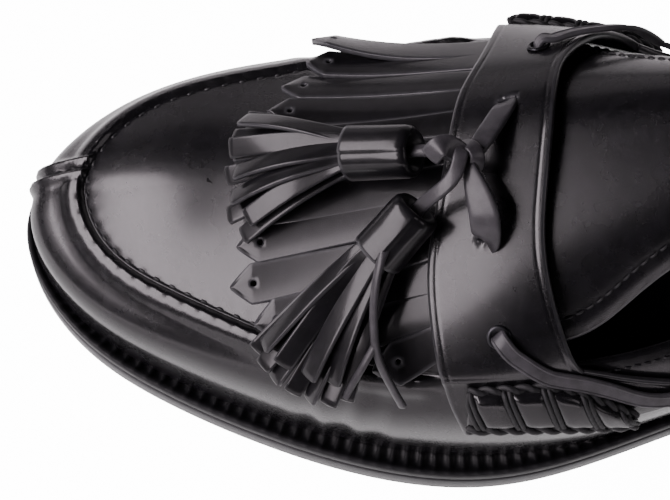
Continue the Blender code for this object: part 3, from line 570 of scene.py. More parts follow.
def twined(path: Array, normals: Array, radius: float, pitch: float) -> list[Shape]:
    """Two strands that turn round each other along a path.

    Args:
        path, normals: the line, and the leather's direction along it.
        radius: of one strand.
        pitch: the length of one full turn.

    Returns:
        The two strands.
    """
    run = unit(np.gradient(path, axis=0))
    side = unit(np.cross(normals, run))
    up = np.cross(run, side)
    length = arc_lengths(path)
    strands = []
    for start in (0.0, math.pi):
        turn = (length / pitch * 2 * math.pi + start)[:, None]
        spots = path + (side * np.cos(turn) * 0.8 + up * np.sin(turn) * 0.6) * radius
        strands.append(swept(spots, up, radius * 2, radius * 1.8, 1.0, 8))
    return strands


def stitches(spots: Array, runs: Array, normals: Array, length: float, radius: float, rise: float) -> Shape:
    """Short threads that dive into the leather at both ends, joined into one shape.

    Args:
        spots, runs, normals: the middle of each, which way it runs, and the leather's direction.
        length, radius: of one thread.
        rise: how high its middle stands.

    Returns:
        All of them.
    """
    rows, sides = 9, 7
    share = np.linspace(-1, 1, rows)
    turn = np.linspace(0, 2 * math.pi, sides, endpoint=False)
    thick = radius * (1 - 0.45 * share ** 4)
    height = rise * (1 - share ** 2) - radius * 0.9 * share ** 4
    local = np.stack([
        np.broadcast_to((share * length / 2)[:, None], (rows, sides)),
        thick[:, None] * np.cos(turn)[None, :],
        height[:, None] + thick[:, None] * np.sin(turn)[None, :]], axis=-1).reshape(-1, 3)
    runs = unit(runs)
    side = unit(np.cross(normals, runs))
    normals = np.cross(runs, side)
    turned = (local[None, :, 0:1] * runs[:, None] + local[None, :, 1:2] * side[:, None]
              + local[None, :, 2:3] * normals[:, None])
    points = (spots[:, None] + turned).reshape(-1, 3)
    base = grid_faces(rows, sides, wrap_columns=True)[:, ::-1]
    steps = np.arange(len(spots)) * rows * sides
    faces = (base[None] + steps[:, None, None]).reshape(-1, 4)
    return Shape(points, faces)


def even_along(path: Array, pitch: float) -> Array:
    """Spots at an even pitch along a line of points.

    Args:
        path: the line.
        pitch: the distance wanted, fitted to the length.

    Returns:
        Fractional indices on the path.
    """
    lengths = arc_lengths(path)
    count = max(2, int(round(lengths[-1] / pitch)))
    wanted = (np.arange(count) + 0.5) * lengths[-1] / count
    return np.interp(wanted, lengths, np.arange(len(path)))


def at_index(rows: Array, index: Array) -> Array:
    """Rows read at fractional indices."""
    low = np.clip(index.astype(int), 0, len(rows) - 2)
    share = (index - low)[:, None]
    return rows[low] * (1 - share) + rows[low + 1] * share


def row_of_stitches(path: Array, normals: Array, pitch: float, length: float, radius: float,
                    rise: float) -> Shape:
    """Stitches at an even pitch along a line on the leather.

    Args:
        path, normals: the line, and the leather's direction along it.
        pitch, length, radius, rise: of the stitches.

    Returns:
        The joined stitches.
    """
    index = even_along(path, pitch)
    runs = unit(np.gradient(path, axis=0))
    return stitches(at_index(path, index), at_index(runs, index), unit(at_index(normals, index)), length,
                    radius, rise)


class Graph:
    """Short ways to place and join the nodes of one tree."""

    def __init__(self, tree: bpy.types.NodeTree) -> None:
        """Keep the tree."""
        self.tree = tree

    def add(self, kind: str, inputs: Optional[dict] = None, **settings) -> bpy.types.Node:
        """Place a node.

        Args:
            kind: the node's type.
            inputs: values or sockets for its inputs, by name or number.
            settings: its own properties.

        Returns:
            The node.
        """
        node = self.tree.nodes.new(kind)
        for name, value in settings.items():
            setattr(node, name, value)
        return self.feed(node, inputs or {})

    def feed(self, node: bpy.types.Node, inputs: dict) -> bpy.types.Node:
        """Set or link the inputs of a node, by name or number."""
        for name, value in inputs.items():
            if isinstance(value, bpy.types.NodeSocket):
                self.tree.links.new(value, node.inputs[name])
            else:
                node.inputs[name].default_value = value
        return node

    def math(self, operation: str, first, second=0.0, third=0.0):
        """One sum of numbers or sockets."""
        return self.add("ShaderNodeMath", {0: first, 1: second, 2: third}, operation=operation).outputs[0]

    def steps(self, value, low: float, high: float, to_low: float = 0.0, to_high: float = 1.0):
        """A value brought smoothly from one range to another."""
        node = self.add("ShaderNodeMapRange", {0: value, 1: low, 2: high, 3: to_low, 4: to_high},
                        interpolation_type="SMOOTHSTEP")
        return node.outputs[0]

    def mix(self, share, first, second):
        """A mix of two colours."""
        node = self.add("ShaderNodeMix", data_type="RGBA")
        for socket, value in ((node.inputs[0], share), (node.inputs[6], first), (node.inputs[7], second)):
            if isinstance(value, bpy.types.NodeSocket):
                self.tree.links.new(value, socket)
            else:
                socket.default_value = value if isinstance(value, float) else (*value, 1.0)
        return node.outputs[2]

    def millimetres(self):
        """The object's own coordinates in millimetres."""
        place = self.add("ShaderNodeTexCoord").outputs["Object"]
        return self.add("ShaderNodeVectorMath", {0: place, 3: 1000.0}, operation="SCALE").outputs[0]

    def bump(self, effect: bpy.types.Node):
        """The surface direction under an effect's height in millimetres."""
        return self.add("ShaderNodeBump", {"Height": effect.outputs["Height"], "Strength": 1.0,
                                           "Distance": MM}).outputs[0]

    def noise(self, place, size: float, detail: float = 2.0, rough: float = 0.5):
        """Soft noise with features of about this size in millimetres."""
        node = self.add("ShaderNodeTexNoise", {"Vector": place, "Scale": 1.0 / size, "Detail": detail,
                                               "Roughness": rough})
        return node.outputs["Fac"]


def new_material(name: str) -> tuple[bpy.types.Material, Graph, bpy.types.Node]:
    """Start a material.

    Args:
        name: of the material.

    Returns:
        The material, the graph of its nodes, and its shader.
    """
    material = bpy.data.materials.new(name)
    material.use_nodes = True
    return material, Graph(material.node_tree), material.node_tree.nodes["Principled BSDF"]


def new_group(name: str, inputs: dict, outputs: Sequence[str]) -> tuple:
    """Start a shader node group.

    Args:
        name: of the group.
        inputs: its number inputs with their usual values.
        outputs: its number outputs.

    Returns:
        The tree, its graph, the sockets of its inputs by name, and its output node.
    """
    tree = bpy.data.node_groups.new(name, "ShaderNodeTree")
    for title, value in inputs.items():
        socket = tree.interface.new_socket(title, in_out="INPUT", socket_type="NodeSocketFloat")
        socket.default_value = value
    for title in outputs:
        tree.interface.new_socket(title, in_out="OUTPUT", socket_type="NodeSocketFloat")
    graph = Graph(tree)
    source = graph.add("NodeGroupInput")
    return tree, graph, {title: source.outputs[title] for title in inputs}, graph.add("NodeGroupOutput")


class Effects:
    """The node groups that several finishes share, each built once."""

    def __init__(self) -> None:
        """Build the groups."""
        self.grain = self.make_grain()
        self.wear_and_edge_highlight = self.make_wear_and_edge_highlight()
        self.twist = self.make_twist()

    @staticmethod
    def make_grain() -> bpy.types.NodeTree:
        """Leather grain: small cells with fine pores, and the slow waves of a drawn hide."""
        tree, graph, given, out = new_group("leather grain", {"Cell": 0.5, "Depth": 0.02, "Wave": 0.05},
                                            ("Height", "Tone"))
        place = graph.millimetres()
        size = graph.math("DIVIDE", 1.0, given["Cell"])
        scaled = graph.add("ShaderNodeVectorMath", {0: place, 3: size}, operation="SCALE").outputs[0]
        bent = graph.add("ShaderNodeVectorMath", {0: scaled, 1: graph.add(
            "ShaderNodeTexNoise", {"Vector": scaled, "Scale": 0.6, "Detail": 2.0}).outputs["Color"]},
            operation="ADD").outputs[0]
        cells = graph.add("ShaderNodeTexVoronoi", {"Vector": bent, "Scale": 1.0}, feature="DISTANCE_TO_EDGE")
        cell = graph.steps(cells.outputs["Distance"], 0.0, 0.22)
        fine = graph.noise(place, 0.16, 3.0, 0.6)
        slow = graph.noise(place, 16.0, 2.0, 0.45)
        middle = graph.noise(place, 3.2, 2.0, 0.5)
        small = graph.math("MULTIPLY_ADD", cell, 0.7, graph.math("MULTIPLY", fine, 0.5))
        large = graph.math("MULTIPLY_ADD", middle, 0.16, slow)
        waves = graph.math("MULTIPLY", large, given["Wave"])
        height = graph.math("MULTIPLY_ADD", small, given["Depth"], waves)
        tone = graph.math("MULTIPLY_ADD", fine, 0.4, graph.math("MULTIPLY", middle, 0.6))
        graph.feed(out, {"Height": height, "Tone": tone})
        return tree

    @staticmethod
    def make_wear_and_edge_highlight() -> bpy.types.NodeTree:
        """Burnish and painted highlight on cut edges, rubbed patches and a little dust."""
        tree, graph, given, out = new_group("wear_and_edge_highlight", {"Edges": 0.5, "Dust": 0.2}, ("Edge", "Rub", "Dust"))
        place = graph.millimetres()
        # The edge mask lightens cut edges: partly real burnish, partly a painted highlight.
        edge = graph.add("ShaderNodeAttribute", attribute_name="edge").outputs["Fac"]
        broken = graph.steps(graph.noise(place, 2.4, 3.0, 0.6), 0.25, 0.6, 0.55, 1.0)
        edge = graph.math("MULTIPLY", graph.math("MULTIPLY", edge, broken), given["Edges"])
        rub = graph.steps(graph.noise(place, 9.0, 4.0, 0.62), 0.36, 0.68)
        specks = graph.steps(graph.noise(place, 0.45, 2.0, 0.7), 0.66, 0.76)
        drift = graph.steps(graph.noise(place, 7.0, 2.0, 0.5), 0.45, 0.7)
        dust = graph.math("MULTIPLY", graph.math("MULTIPLY", specks, drift), given["Dust"])
        graph.feed(out, {"Edge": edge, "Rub": rub, "Dust": dust})
        return tree

    @staticmethod
    def make_twist() -> bpy.types.NodeTree:
        """Twisted and waxed thread: slanting plies with loose fibre."""
        tree, graph, given, out = new_group("thread twist", {"Ply": 0.8, "Depth": 0.06}, ("Height", "Tone"))
        place = graph.millimetres()
        scale = graph.math("DIVIDE", 1.0, given["Ply"])
        scaled = graph.add("ShaderNodeVectorMath", {0: place, 3: scale}, operation="SCALE").outputs[0]
        wave = graph.add("ShaderNodeTexWave", {"Vector": scaled, "Scale": 0.32, "Distortion": 0.6},
                         wave_type="BANDS", bands_direction="DIAGONAL").outputs["Fac"]
        fibre = graph.noise(place, 0.12, 2.0, 0.6)
        height = graph.math("MULTIPLY", graph.math("MULTIPLY_ADD", fibre, 0.3, wave), given["Depth"])
        tone = graph.math("MULTIPLY_ADD", wave, 0.6, graph.math("MULTIPLY", fibre, 0.4))
        graph.feed(out, {"Height": height, "Tone": tone})
        return tree


@dataclass(frozen=True)
class Leather:
    """A leather or rubber finish: two tones, gloss, grain, cut edges lightened partly as burnish and partly
    as a painted highlight, rubbing and dust.
    """

    name: str
    dark: tuple = (0.0035, 0.0033, 0.004)
    light: tuple = (0.009, 0.0085, 0.0105)
    # Colour of cut edges: partly real burnish, partly a painted highlight along the edges.
    edge_burnish_and_highlight: tuple = (0.05, 0.05, 0.055)
    roughness: float = 0.24
    rub: float = 0.06
    specular: float = 0.3
    coat: float = 0.6
    coat_roughness: float = 0.17
    cell: float = 0.5
    depth: float = 0.016
    wave: float = 0.05
    edges: float = 0.6
    dust: float = 0.12

    def material(self, effects: Effects) -> bpy.types.Material:
        """Build the material from the shared effects.

        Args:
            effects: the node groups.

        Returns:
            The material.
        """
        material, graph, shader = new_material(self.name)
        grain = graph.add("ShaderNodeGroup", node_tree=effects.grain)
        graph.feed(grain, {"Cell": self.cell, "Depth": self.depth, "Wave": self.wave})
        wear_and_edge_highlight = graph.add("ShaderNodeGroup", node_tree=effects.wear_and_edge_highlight)
        graph.feed(wear_and_edge_highlight, {"Edges": self.edges, "Dust": self.dust})
        colour = graph.mix(graph.steps(grain.outputs["Tone"], 0.3, 0.75), self.dark, self.light)
        # Cut edges take a lighter colour: partly real burnish, partly a painted highlight.
        colour = graph.mix(wear_and_edge_highlight.outputs["Edge"], colour, self.edge_burnish_and_highlight)
        colour = graph.mix(wear_and_edge_highlight.outputs["Dust"], colour, (0.42, 0.4, 0.38))
        rough = graph.math("MULTIPLY_ADD", wear_and_edge_highlight.outputs["Rub"], self.rub, self.roughness)
        rough = graph.math("MULTIPLY_ADD", wear_and_edge_highlight.outputs["Edge"], 0.12, rough)
        rough = graph.math("MULTIPLY_ADD", wear_and_edge_highlight.outputs["Dust"], 0.4, rough)
        graph.feed(shader, {"Base Color": colour, "Roughness": rough, "Normal": graph.bump(grain),
                            "Specular IOR Level": self.specular, "Coat Weight": self.coat,
                            "Coat Roughness": self.coat_roughness})
        return material


@dataclass(frozen=True)
class Thread:
    """Waxed sewing thread."""

    name: str
    dark: tuple = (0.004, 0.004, 0.005)
    light: tuple = (0.03, 0.03, 0.034)
    roughness: float = 0.42
    ply: float = 0.8
    depth: float = 0.05

    def material(self, effects: Effects) -> bpy.types.Material:
        """Build the material from the shared effects."""
        material, graph, shader = new_material(self.name)
        twist = graph.add("ShaderNodeGroup", node_tree=effects.twist)
        graph.feed(twist, {"Ply": self.ply, "Depth": self.depth})
        colour = graph.mix(twist.outputs["Tone"], self.dark, self.light)
        rough = graph.math("MULTIPLY_ADD", twist.outputs["Tone"], 0.15, self.roughness)
        graph.feed(shader, {"Base Color": colour, "Roughness": rough, "Normal": graph.bump(twist)})
        return material


@dataclass(frozen=True)
class Enamel:
    """Blackened metal of the eyelets."""

    name: str
    roughness: float = 0.24

    def material(self, effects: Effects) -> bpy.types.Material:
        """Build the material from the shared effects."""
        material, graph, shader = new_material(self.name)
        wear_and_edge_highlight = graph.add("ShaderNodeGroup", node_tree=effects.wear_and_edge_highlight)
        colour = graph.mix(wear_and_edge_highlight.outputs["Rub"], (0.012, 0.012, 0.014), (0.05, 0.05, 0.055))
        rough = graph.math("MULTIPLY_ADD", wear_and_edge_highlight.outputs["Rub"], 0.14, self.roughness)
        graph.feed(shader, {"Base Color": colour, "Roughness": rough, "Metallic": 0.85})
        return material


class Bench:
    """Where pieces are put together: it makes the finishes and hands each piece to the frame."""

    def __init__(self) -> None:
        """Start with no finish made."""
        self.effects = Effects()
        self.made = {}

    def finish(self, finish) -> bpy.types.Material:
        """The material of a finish, made once."""
        if finish.name not in self.made:
            self.made[finish.name] = finish.material(self.effects)
        return self.made[finish.name]

    def place(self, name: str, shape: Shape, finish, slot: str, *nodes: str) -> bpy.types.Object:
        """Turn a shape into a piece that rides on the shoe.

        Args:
            name: of the piece.
            shape: in millimetres.
            finish: of its surface.
            slot: the record's material slot; not used.
            nodes: the CAD nodes that it stands for.

        Returns:
            The piece.
        """
        mesh = bpy.data.meshes.new(name)
        mesh.from_pydata((shape.points * MM).tolist(), [], shape.faces.tolist())
        if shape.edge is not None:
            attribute = mesh.attributes.new("edge", "FLOAT", "POINT")
            attribute.data.foreach_set("value", shape.edge.astype(np.float32))
        mesh.materials.append(self.finish(finish))
        mesh.validate()
        mesh.shade_smooth()
        piece = bpy.data.objects.new(name, mesh)
        bpy.context.scene.collection.objects.link(piece)
        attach(piece, "root")
        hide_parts(*nodes)
        log.info("%s: %d faces", name, len(mesh.polygons))
        return piece


BOX_CALF = Leather("box_calf")
EDGE_LEATHER = Leather("sole_edge", dark=(0.02, 0.02, 0.022), light=(0.035, 0.035, 0.038), roughness=0.34,
                       coat=0.25, coat_roughness=0.3, cell=0.3, depth=0.02, wave=0.04, edges=0.3, dust=0.2)
WELT_LEATHER = Leather("welt_leather", dark=(0.004, 0.004, 0.005), light=(0.009, 0.009, 0.01),
                       roughness=0.42, specular=0.25, coat=0.0, cell=0.4, depth=0.02, wave=0.04,
                       edges=0.3, dust=0.2)
HEEL_LEATHER = Leather("heel_leather", dark=(0.008, 0.008, 0.009), light=(0.02, 0.02, 0.022), roughness=0.32,
                       coat=0.35, coat_roughness=0.2, cell=0.3, depth=0.015, wave=0.05, edges=0.3)
HEEL_RUBBER = Leather("heel_rubber", dark=(0.012, 0.012, 0.012), light=(0.022, 0.022, 0.022), roughness=0.6,
                      coat=0.0, cell=0.35, depth=0.02, wave=0.03, edges=0.2, dust=0.6)
LINING_LEATHER = Leather("lining_leather", dark=(0.008, 0.009, 0.011), light=(0.018, 0.02, 0.024),
                         roughness=0.55, coat=0.0, cell=0.6, depth=0.02, wave=0.08, edges=0.2, dust=0.15)
SOCK_LEATHER = Leather("sock_leather", dark=(0.01, 0.011, 0.013), light=(0.022, 0.024, 0.028),
                       roughness=0.5, coat=0.05, cell=0.5, depth=0.02, wave=0.1, edges=0.2, dust=0.2)
STRAP_LEATHER = Leather("strap_leather", roughness=0.32, specular=0.2, coat=0.42, coat_roughness=0.13,
                        edges=0.9, wave=0.12, dust=0.12)
LACE_LEATHER = Leather("lace_leather", dark=(0.022, 0.021, 0.024), light=(0.055, 0.052, 0.058),
                       roughness=0.36, coat=0.25, coat_roughness=0.2, depth=0.015, edges=0.9)
# The collar lace is coloured well above the thong's lace leather: the lift is a painted highlight for its
# bright top.
COLLAR_LACE_PAINTED_HIGHLIGHT = Leather("collar_lace_painted_highlight", dark=(0.035, 0.034, 0.037), light=(0.085, 0.081, 0.09),
                              roughness=0.42, coat=0.2, coat_roughness=0.25, depth=0.015, edges=0.9)
BLACK_THREAD = Thread("black_thread", light=(0.012, 0.012, 0.014), roughness=0.55)
APRON_THREAD = Thread("apron_thread", light=(0.018, 0.018, 0.02), roughness=0.36, ply=0.9)
BLACK_ENAMEL = Enamel("black_enamel")


class SoftBox(NamedTuple):
    """An area light: its middle and its width and height in millimetres, and its power in watts."""

    name: str
    place: tuple
    size: tuple
    watts: float


@dataclass
class Studio:
    """Pale floor, soft lights and the camera at the photo's angle to the shoe."""

    target: tuple = (75.0, 6.5, 35.0)
    distance: float = 450.0
    elevation: float = 65.0
    lens: float = 102.76
    room: float = 0.02
    floor_glow: float = 14.0
    floor_dim: float = 0.1
    # floor_shine and floor_far_shine set a painted glow of the floor, seen only in reflections, near and far
    # from the shoe.
    floor_shine: float = 0.75
    floor_far_shine: float = 0.03
    shine_ends: tuple = (0.06, 0.13)
    floor_reach: float = 2.5
    lamp_colour: tuple = (1.0, 0.9, 0.96)
    soft_boxes: Sequence[SoftBox] = (
        SoftBox("toe_softbox", (758.1, 102.8, 613.7), (1300, 400), 15.0),
        SoftBox("toe_card", (690, 230, 8), (900, 60), 0.4),
        SoftBox("near_card", (20, 800, 55), (1300, 160), 1.3),
        SoftBox("far_panel", (60, -900, 260), (1500, 300), 0.55),
        SoftBox("rear_panel", (-900, 300, 700), (500, 500), 1.2))

    def build(self) -> None:
        """Make the camera, the floor and the lights."""
        self.make_camera()
        self.make_floor()
        for box in self.soft_boxes:
            self.make_light(box)
        world = bpy.data.worlds.new("studio")
        world.use_nodes = True
        background = world.node_tree.nodes["Background"]
        background.inputs[0].default_value = (1.0, 1.0, 1.03, 1.0)
        graph = Graph(world.node_tree)
        rays = graph.add("ShaderNodeLightPath")
        seen = graph.math("MULTIPLY_ADD", rays.outputs["Is Camera Ray"], 1.0 - self.room, self.room)
        world.node_tree.links.new(seen, background.inputs[1])
        bpy.context.scene.world = world

    def make_camera(self) -> None:
        """Look at the shoe's front half from above its outer side."""
        turn = math.radians(self.elevation)
        target = Vector(self.target)
        place = target + Vector((0, math.cos(turn), math.sin(turn))) * self.distance
        camera = bpy.data.objects.new("camera", bpy.data.cameras.new("camera"))
        camera.data.lens = self.lens
        camera.data.sensor_width = 36.0
        camera.data.clip_start = 0.01
        camera.location = place * MM
        camera.rotation_euler = (target - place).to_track_quat("-Z", "Y").to_euler()
        bpy.context.scene.collection.objects.link(camera)
        bpy.context.scene.camera = camera

    def make_floor(self) -> None:
        """A wide plain floor with a faint glow, so that it stays as pale as the photo's ground."""
        mesh = bpy.data.meshes.new("floor")
        reach = self.floor_reach
        corners = [(-reach, -reach, 0), (reach, -reach, 0), (reach, reach, 0), (-reach, reach, 0)]
        mesh.from_pydata(corners, [], [(0, 1, 2, 3)])
        floor = bpy.data.objects.new("floor", mesh)
        material, graph, shader = new_material("floor")
        rays = graph.add("ShaderNodeLightPath")
        place = graph.add("ShaderNodeNewGeometry").outputs["Position"]
        flat = graph.add("ShaderNodeVectorMath", {0: place, 1: (0.2, 1.0, 0.0)}, operation="MULTIPLY")
        away = graph.add("ShaderNodeVectorMath", {0: flat.outputs[0]}, operation="LENGTH").outputs["Value"]
        # For glossy rays only, the floor glows strongly near the shoe and fades away from it: a painted glow
        # that lights the leather's reflections.
        near = graph.steps(away, *self.shine_ends, self.floor_shine, self.floor_far_shine)
        glow = graph.math("MULTIPLY_ADD", rays.outputs["Is Camera Ray"], self.floor_glow, self.floor_dim)
        rest = graph.math("MULTIPLY", rays.outputs["Is Glossy Ray"], near)
        graph.feed(shader, {"Base Color": (0.86, 0.86, 0.86, 1), "Roughness": 0.9,
                            "Emission Color": (1, 1, 1, 1),
                            "Emission Strength": graph.math("ADD", glow, rest)})
        mesh.materials.append(material)
        bpy.context.scene.collection.objects.link(floor)

    def make_light(self, box: SoftBox) -> None:
        """An area light that looks at the shoe."""
        lamp = bpy.data.lights.new(box.name, "AREA")
        lamp.shape = "RECTANGLE"
        lamp.size, lamp.size_y = box.size[0] * MM, box.size[1] * MM
        lamp.energy = box.watts
        lamp.color = self.lamp_colour
        light = bpy.data.objects.new(box.name, lamp)
        place = Vector(box.place)
        light.location = place * MM
        light.rotation_euler = (Vector(self.target) - place).to_track_quat("-Z", "Y").to_euler()
        bpy.context.scene.collection.objects.link(light)


@dataclass
class Bottom:
    """Welt, outsole, heel and the sock lining inside."""

    last: Last
    pitch: float = 3.5
    notch: float = 1.1
    lifts: int = 2

    def ring(self, count: int) -> Array:
        """Places round the last at an even spacing along the welt."""
        places = np.linspace(0, ROUND, 2400, endpoint=False)
        spots, _ = self.last.outline(places, self.last.welt(places))
        lengths = loop_lengths(spots)
        wanted = np.linspace(0, lengths[-1], count, endpoint=False)
        return np.interp(wanted, lengths, np.append(places, ROUND))

    def layer(self, places: Array, rows: Sequence) -> Shape:
        """A closed layer from its levels, bottom to top.

        Args:
            places: places round the last.
            rows: for each level how far out it stands and how high over the outsole's underside.

        Returns:
            The shape, with its two broad faces filled by shrinking rings.
        """
        levels = []
        for offset, height in rows:
            spot, _ = self.last.outline(places, offset)
            levels.append(np.concatenate([spot, (self.last.under(spot[:, 0]) + height)[:, None]], axis=1))
        points = np.concatenate([self.fill(levels[0])[::-1], np.array(levels), self.fill(levels[-1])])
        return grid_shape(points, self.outward(points), wrap_columns=True, edge=np.zeros(points.shape[:2]))

    @staticmethod
    def fill(level: Array) -> Array:
        """Rings that shrink a closed level on to its own long middle line."""
        opposite = level[(-np.arange(len(level))) % len(level)]
        spine = (level + opposite) / 2
        return np.array([level + (spine - level) * share for share in (0.04, 0.3, 0.65, 1.0)])

    @staticmethod
    def outward(points: Array) -> Array:
        """Directions away from the long middle of a layer."""
        middle = points.mean(axis=(0, 1))
        away = points - np.array([0, middle[1], middle[2]])
        away[..., 0] = 0
        return away

    def build(self, bench: Bench) -> None:
        """Make and place every piece of the bottom."""
        last = self.last
        places = self.ring(1200)
        out = last.welt(places)
        spots, _ = last.outline(places, out)
        lengths = loop_lengths(spots)
        pitch = lengths[-1] / round(lengths[-1] / self.pitch)
        phase = (lengths[:-1] / pitch) % 1.0
        mark = (1 - np.exp(-(np.minimum(phase, 1 - phase) * pitch / 0.62) ** 2)) * self.notch
        top = OUTSOLE + WELT
        self.make_welt(bench, places, out, mark, top)
        bottom = self.layer(places, [
            (out - 2.0, 0.0), (out - 0.9, 0.0), (out - 0.25, 0.3), (out + 0.1, 1.0), (out + 0.12, 3.0),
            (out + 0.1, OUTSOLE - 0.9), (out - 0.15, OUTSOLE - 0.45), (out - 0.7, OUTSOLE - 0.3)])
        bench.place("outsole_leather", bottom, EDGE_LEATHER, "outsole", "outsole")
        inside = -WALL - 0.6
        insole = OUTSOLE + WELT + INSOLE_RISE
        levels = [(inside, OUTSOLE), (inside, insole - 0.5), (inside - 0.5, insole)]
        sock = self.layer(self.ring(500), levels)
        bench.place("sock_lining", sock, SOCK_LEATHER, "insole", "insole")
        self.make_heel(bench)

    def make_welt(self, bench: Bench, places: Array, out: Array, mark: Array, top: float) -> None:
        """The welt with its wheel marks.

        Args:
            bench: where pieces are placed.
            places, out: the ring and how far the welt stands out there.
            mark: how deep the wheel has pressed at each place.
            top: height of the welt's top over the outsole's underside.
        """
        last = self.last
        levels = []
        low = OUTSOLE
        rows = [(out - 2.5, low + 0.02, 0.0), (out - 0.5, low + 0.05, 0.0), (out - 0.1, low + 0.3, 0.0),
                (out, low + 0.9, 0.0), (out, top - 1.0, 0.0), (out - 0.15, top - 0.3, 0.05),
                (out - 0.6, top, 0.12), (out - 1.2, top - 0.05, 0.35), (out - 1.6, top - 0.3, 1.0),
                (out - 2.3, top - 0.45, 1.1), (0.5, top - 0.5, 1.1), (-0.8, top - 0.5, 0.2),
                (-2.0, low + 0.02, 0.0)]
        for offset, height, press in rows:
            spot, _ = last.outline(places, np.maximum(offset, -2.2) - mark * press * 0.8)
            z = last.under(spot[:, 0]) + height - mark * press
            levels.append(np.concatenate([spot, z[:, None]], axis=1))
        points = np.stack(levels, axis=1)
        edge = np.tile([0, 0, 0.4, 0.1, 0.1, 0.8, 0.6, 0, 0, 0, 0, 0, 0], (len(places), 1))
        shape = grid_shape(points, points - points.mean(axis=1, keepdims=True), True, True, edge)
        bench.place("welt_strip", shape, WELT_LEATHER, "welt", "welt")

    def make_heel(self, bench: Bench) -> None:
        """Heel stack of leather lifts and its rubber top piece."""
        last = self.last
        breast = float(last.place_at(HEEL_BREAST_X, Side.LATERAL))
        half = np.linspace(0, breast, 90)
        places = np.concatenate([-half[::-1], half[1:]]) % ROUND
        edge = last.welt(places)

        def heel(rows: Sequence, name: str, node: str, finish: Leather) -> None:
            levels = []
            for offset, height in rows:
                spot, _ = last.outline(places, edge + offset)
                z = height(spot[:, 0])
                levels.append(np.concatenate([spot, z[:, None]], axis=1))
            points = np.array(levels)
            front = points[:, [0, -1]]
            steps = np.linspace(0, 1, 14)[1:-1]
            bridge = np.stack([front[:, 1] + (front[:, 0] - front[:, 1]) * s for s in steps], axis=1)
            ring = np.concatenate([points, bridge], axis=1)
            caps = []
            for level in (ring[0], ring[-1]):
                middle = level.mean(axis=0)
                caps.append(np.array([level + (middle - level) * s for s in (0.1, 0.5, 1.0)]))
            ring = np.concatenate([caps[0][::-1], ring, caps[1]])
            away = ring - ring.mean(axis=(0, 1))
            shape = grid_shape(ring, away, wrap_columns=True, edge=np.zeros(ring.shape[:2]))
            bench.place(name, shape, finish, node, node)

        def level_at(z: float) -> Callable[[Array], Array]:
            return lambda x: z + 0 * x

        def between(part: float) -> Callable[[Array], Array]:
            return lambda x: low + (last.under(x) - GAP - low) * part

        low = TOP_PIECE + GAP
        rows = [(-2.0, level_at(low))]
        for lift in range(self.lifts + 1):
            for share, inset in ((0.03, 0.35), (0.1, 0.0), (0.9, 0.0), (0.97, 0.35)):
                part = (lift + share) / (self.lifts + 1)
                rows.append((-1.0 + 0.8 * part - inset, between(part)))
        rows.append((-1.2, lambda x: last.under(x) - GAP))
        heel(rows, "heel_lifts", "heel_stack", HEEL_LEATHER)
        rubber = ((-2.4, 0.0), (-1.6, 0.25), (-1.1, 1.0), (-1.0, TOP_PIECE - 0.8), (-1.3, TOP_PIECE - 0.2),
                  (-2.0, TOP_PIECE))
        heel([(offset, level_at(z)) for offset, z in rubber], "heel_rubber", "heel_top_piece", HEEL_RUBBER)


class Fold(NamedTuple):
    """A soft crease over the vamp: its middle, direction, size and depth in millimetres."""

    x: float
    y: float
    turn: float
    length: float
    width: float
    depth: float


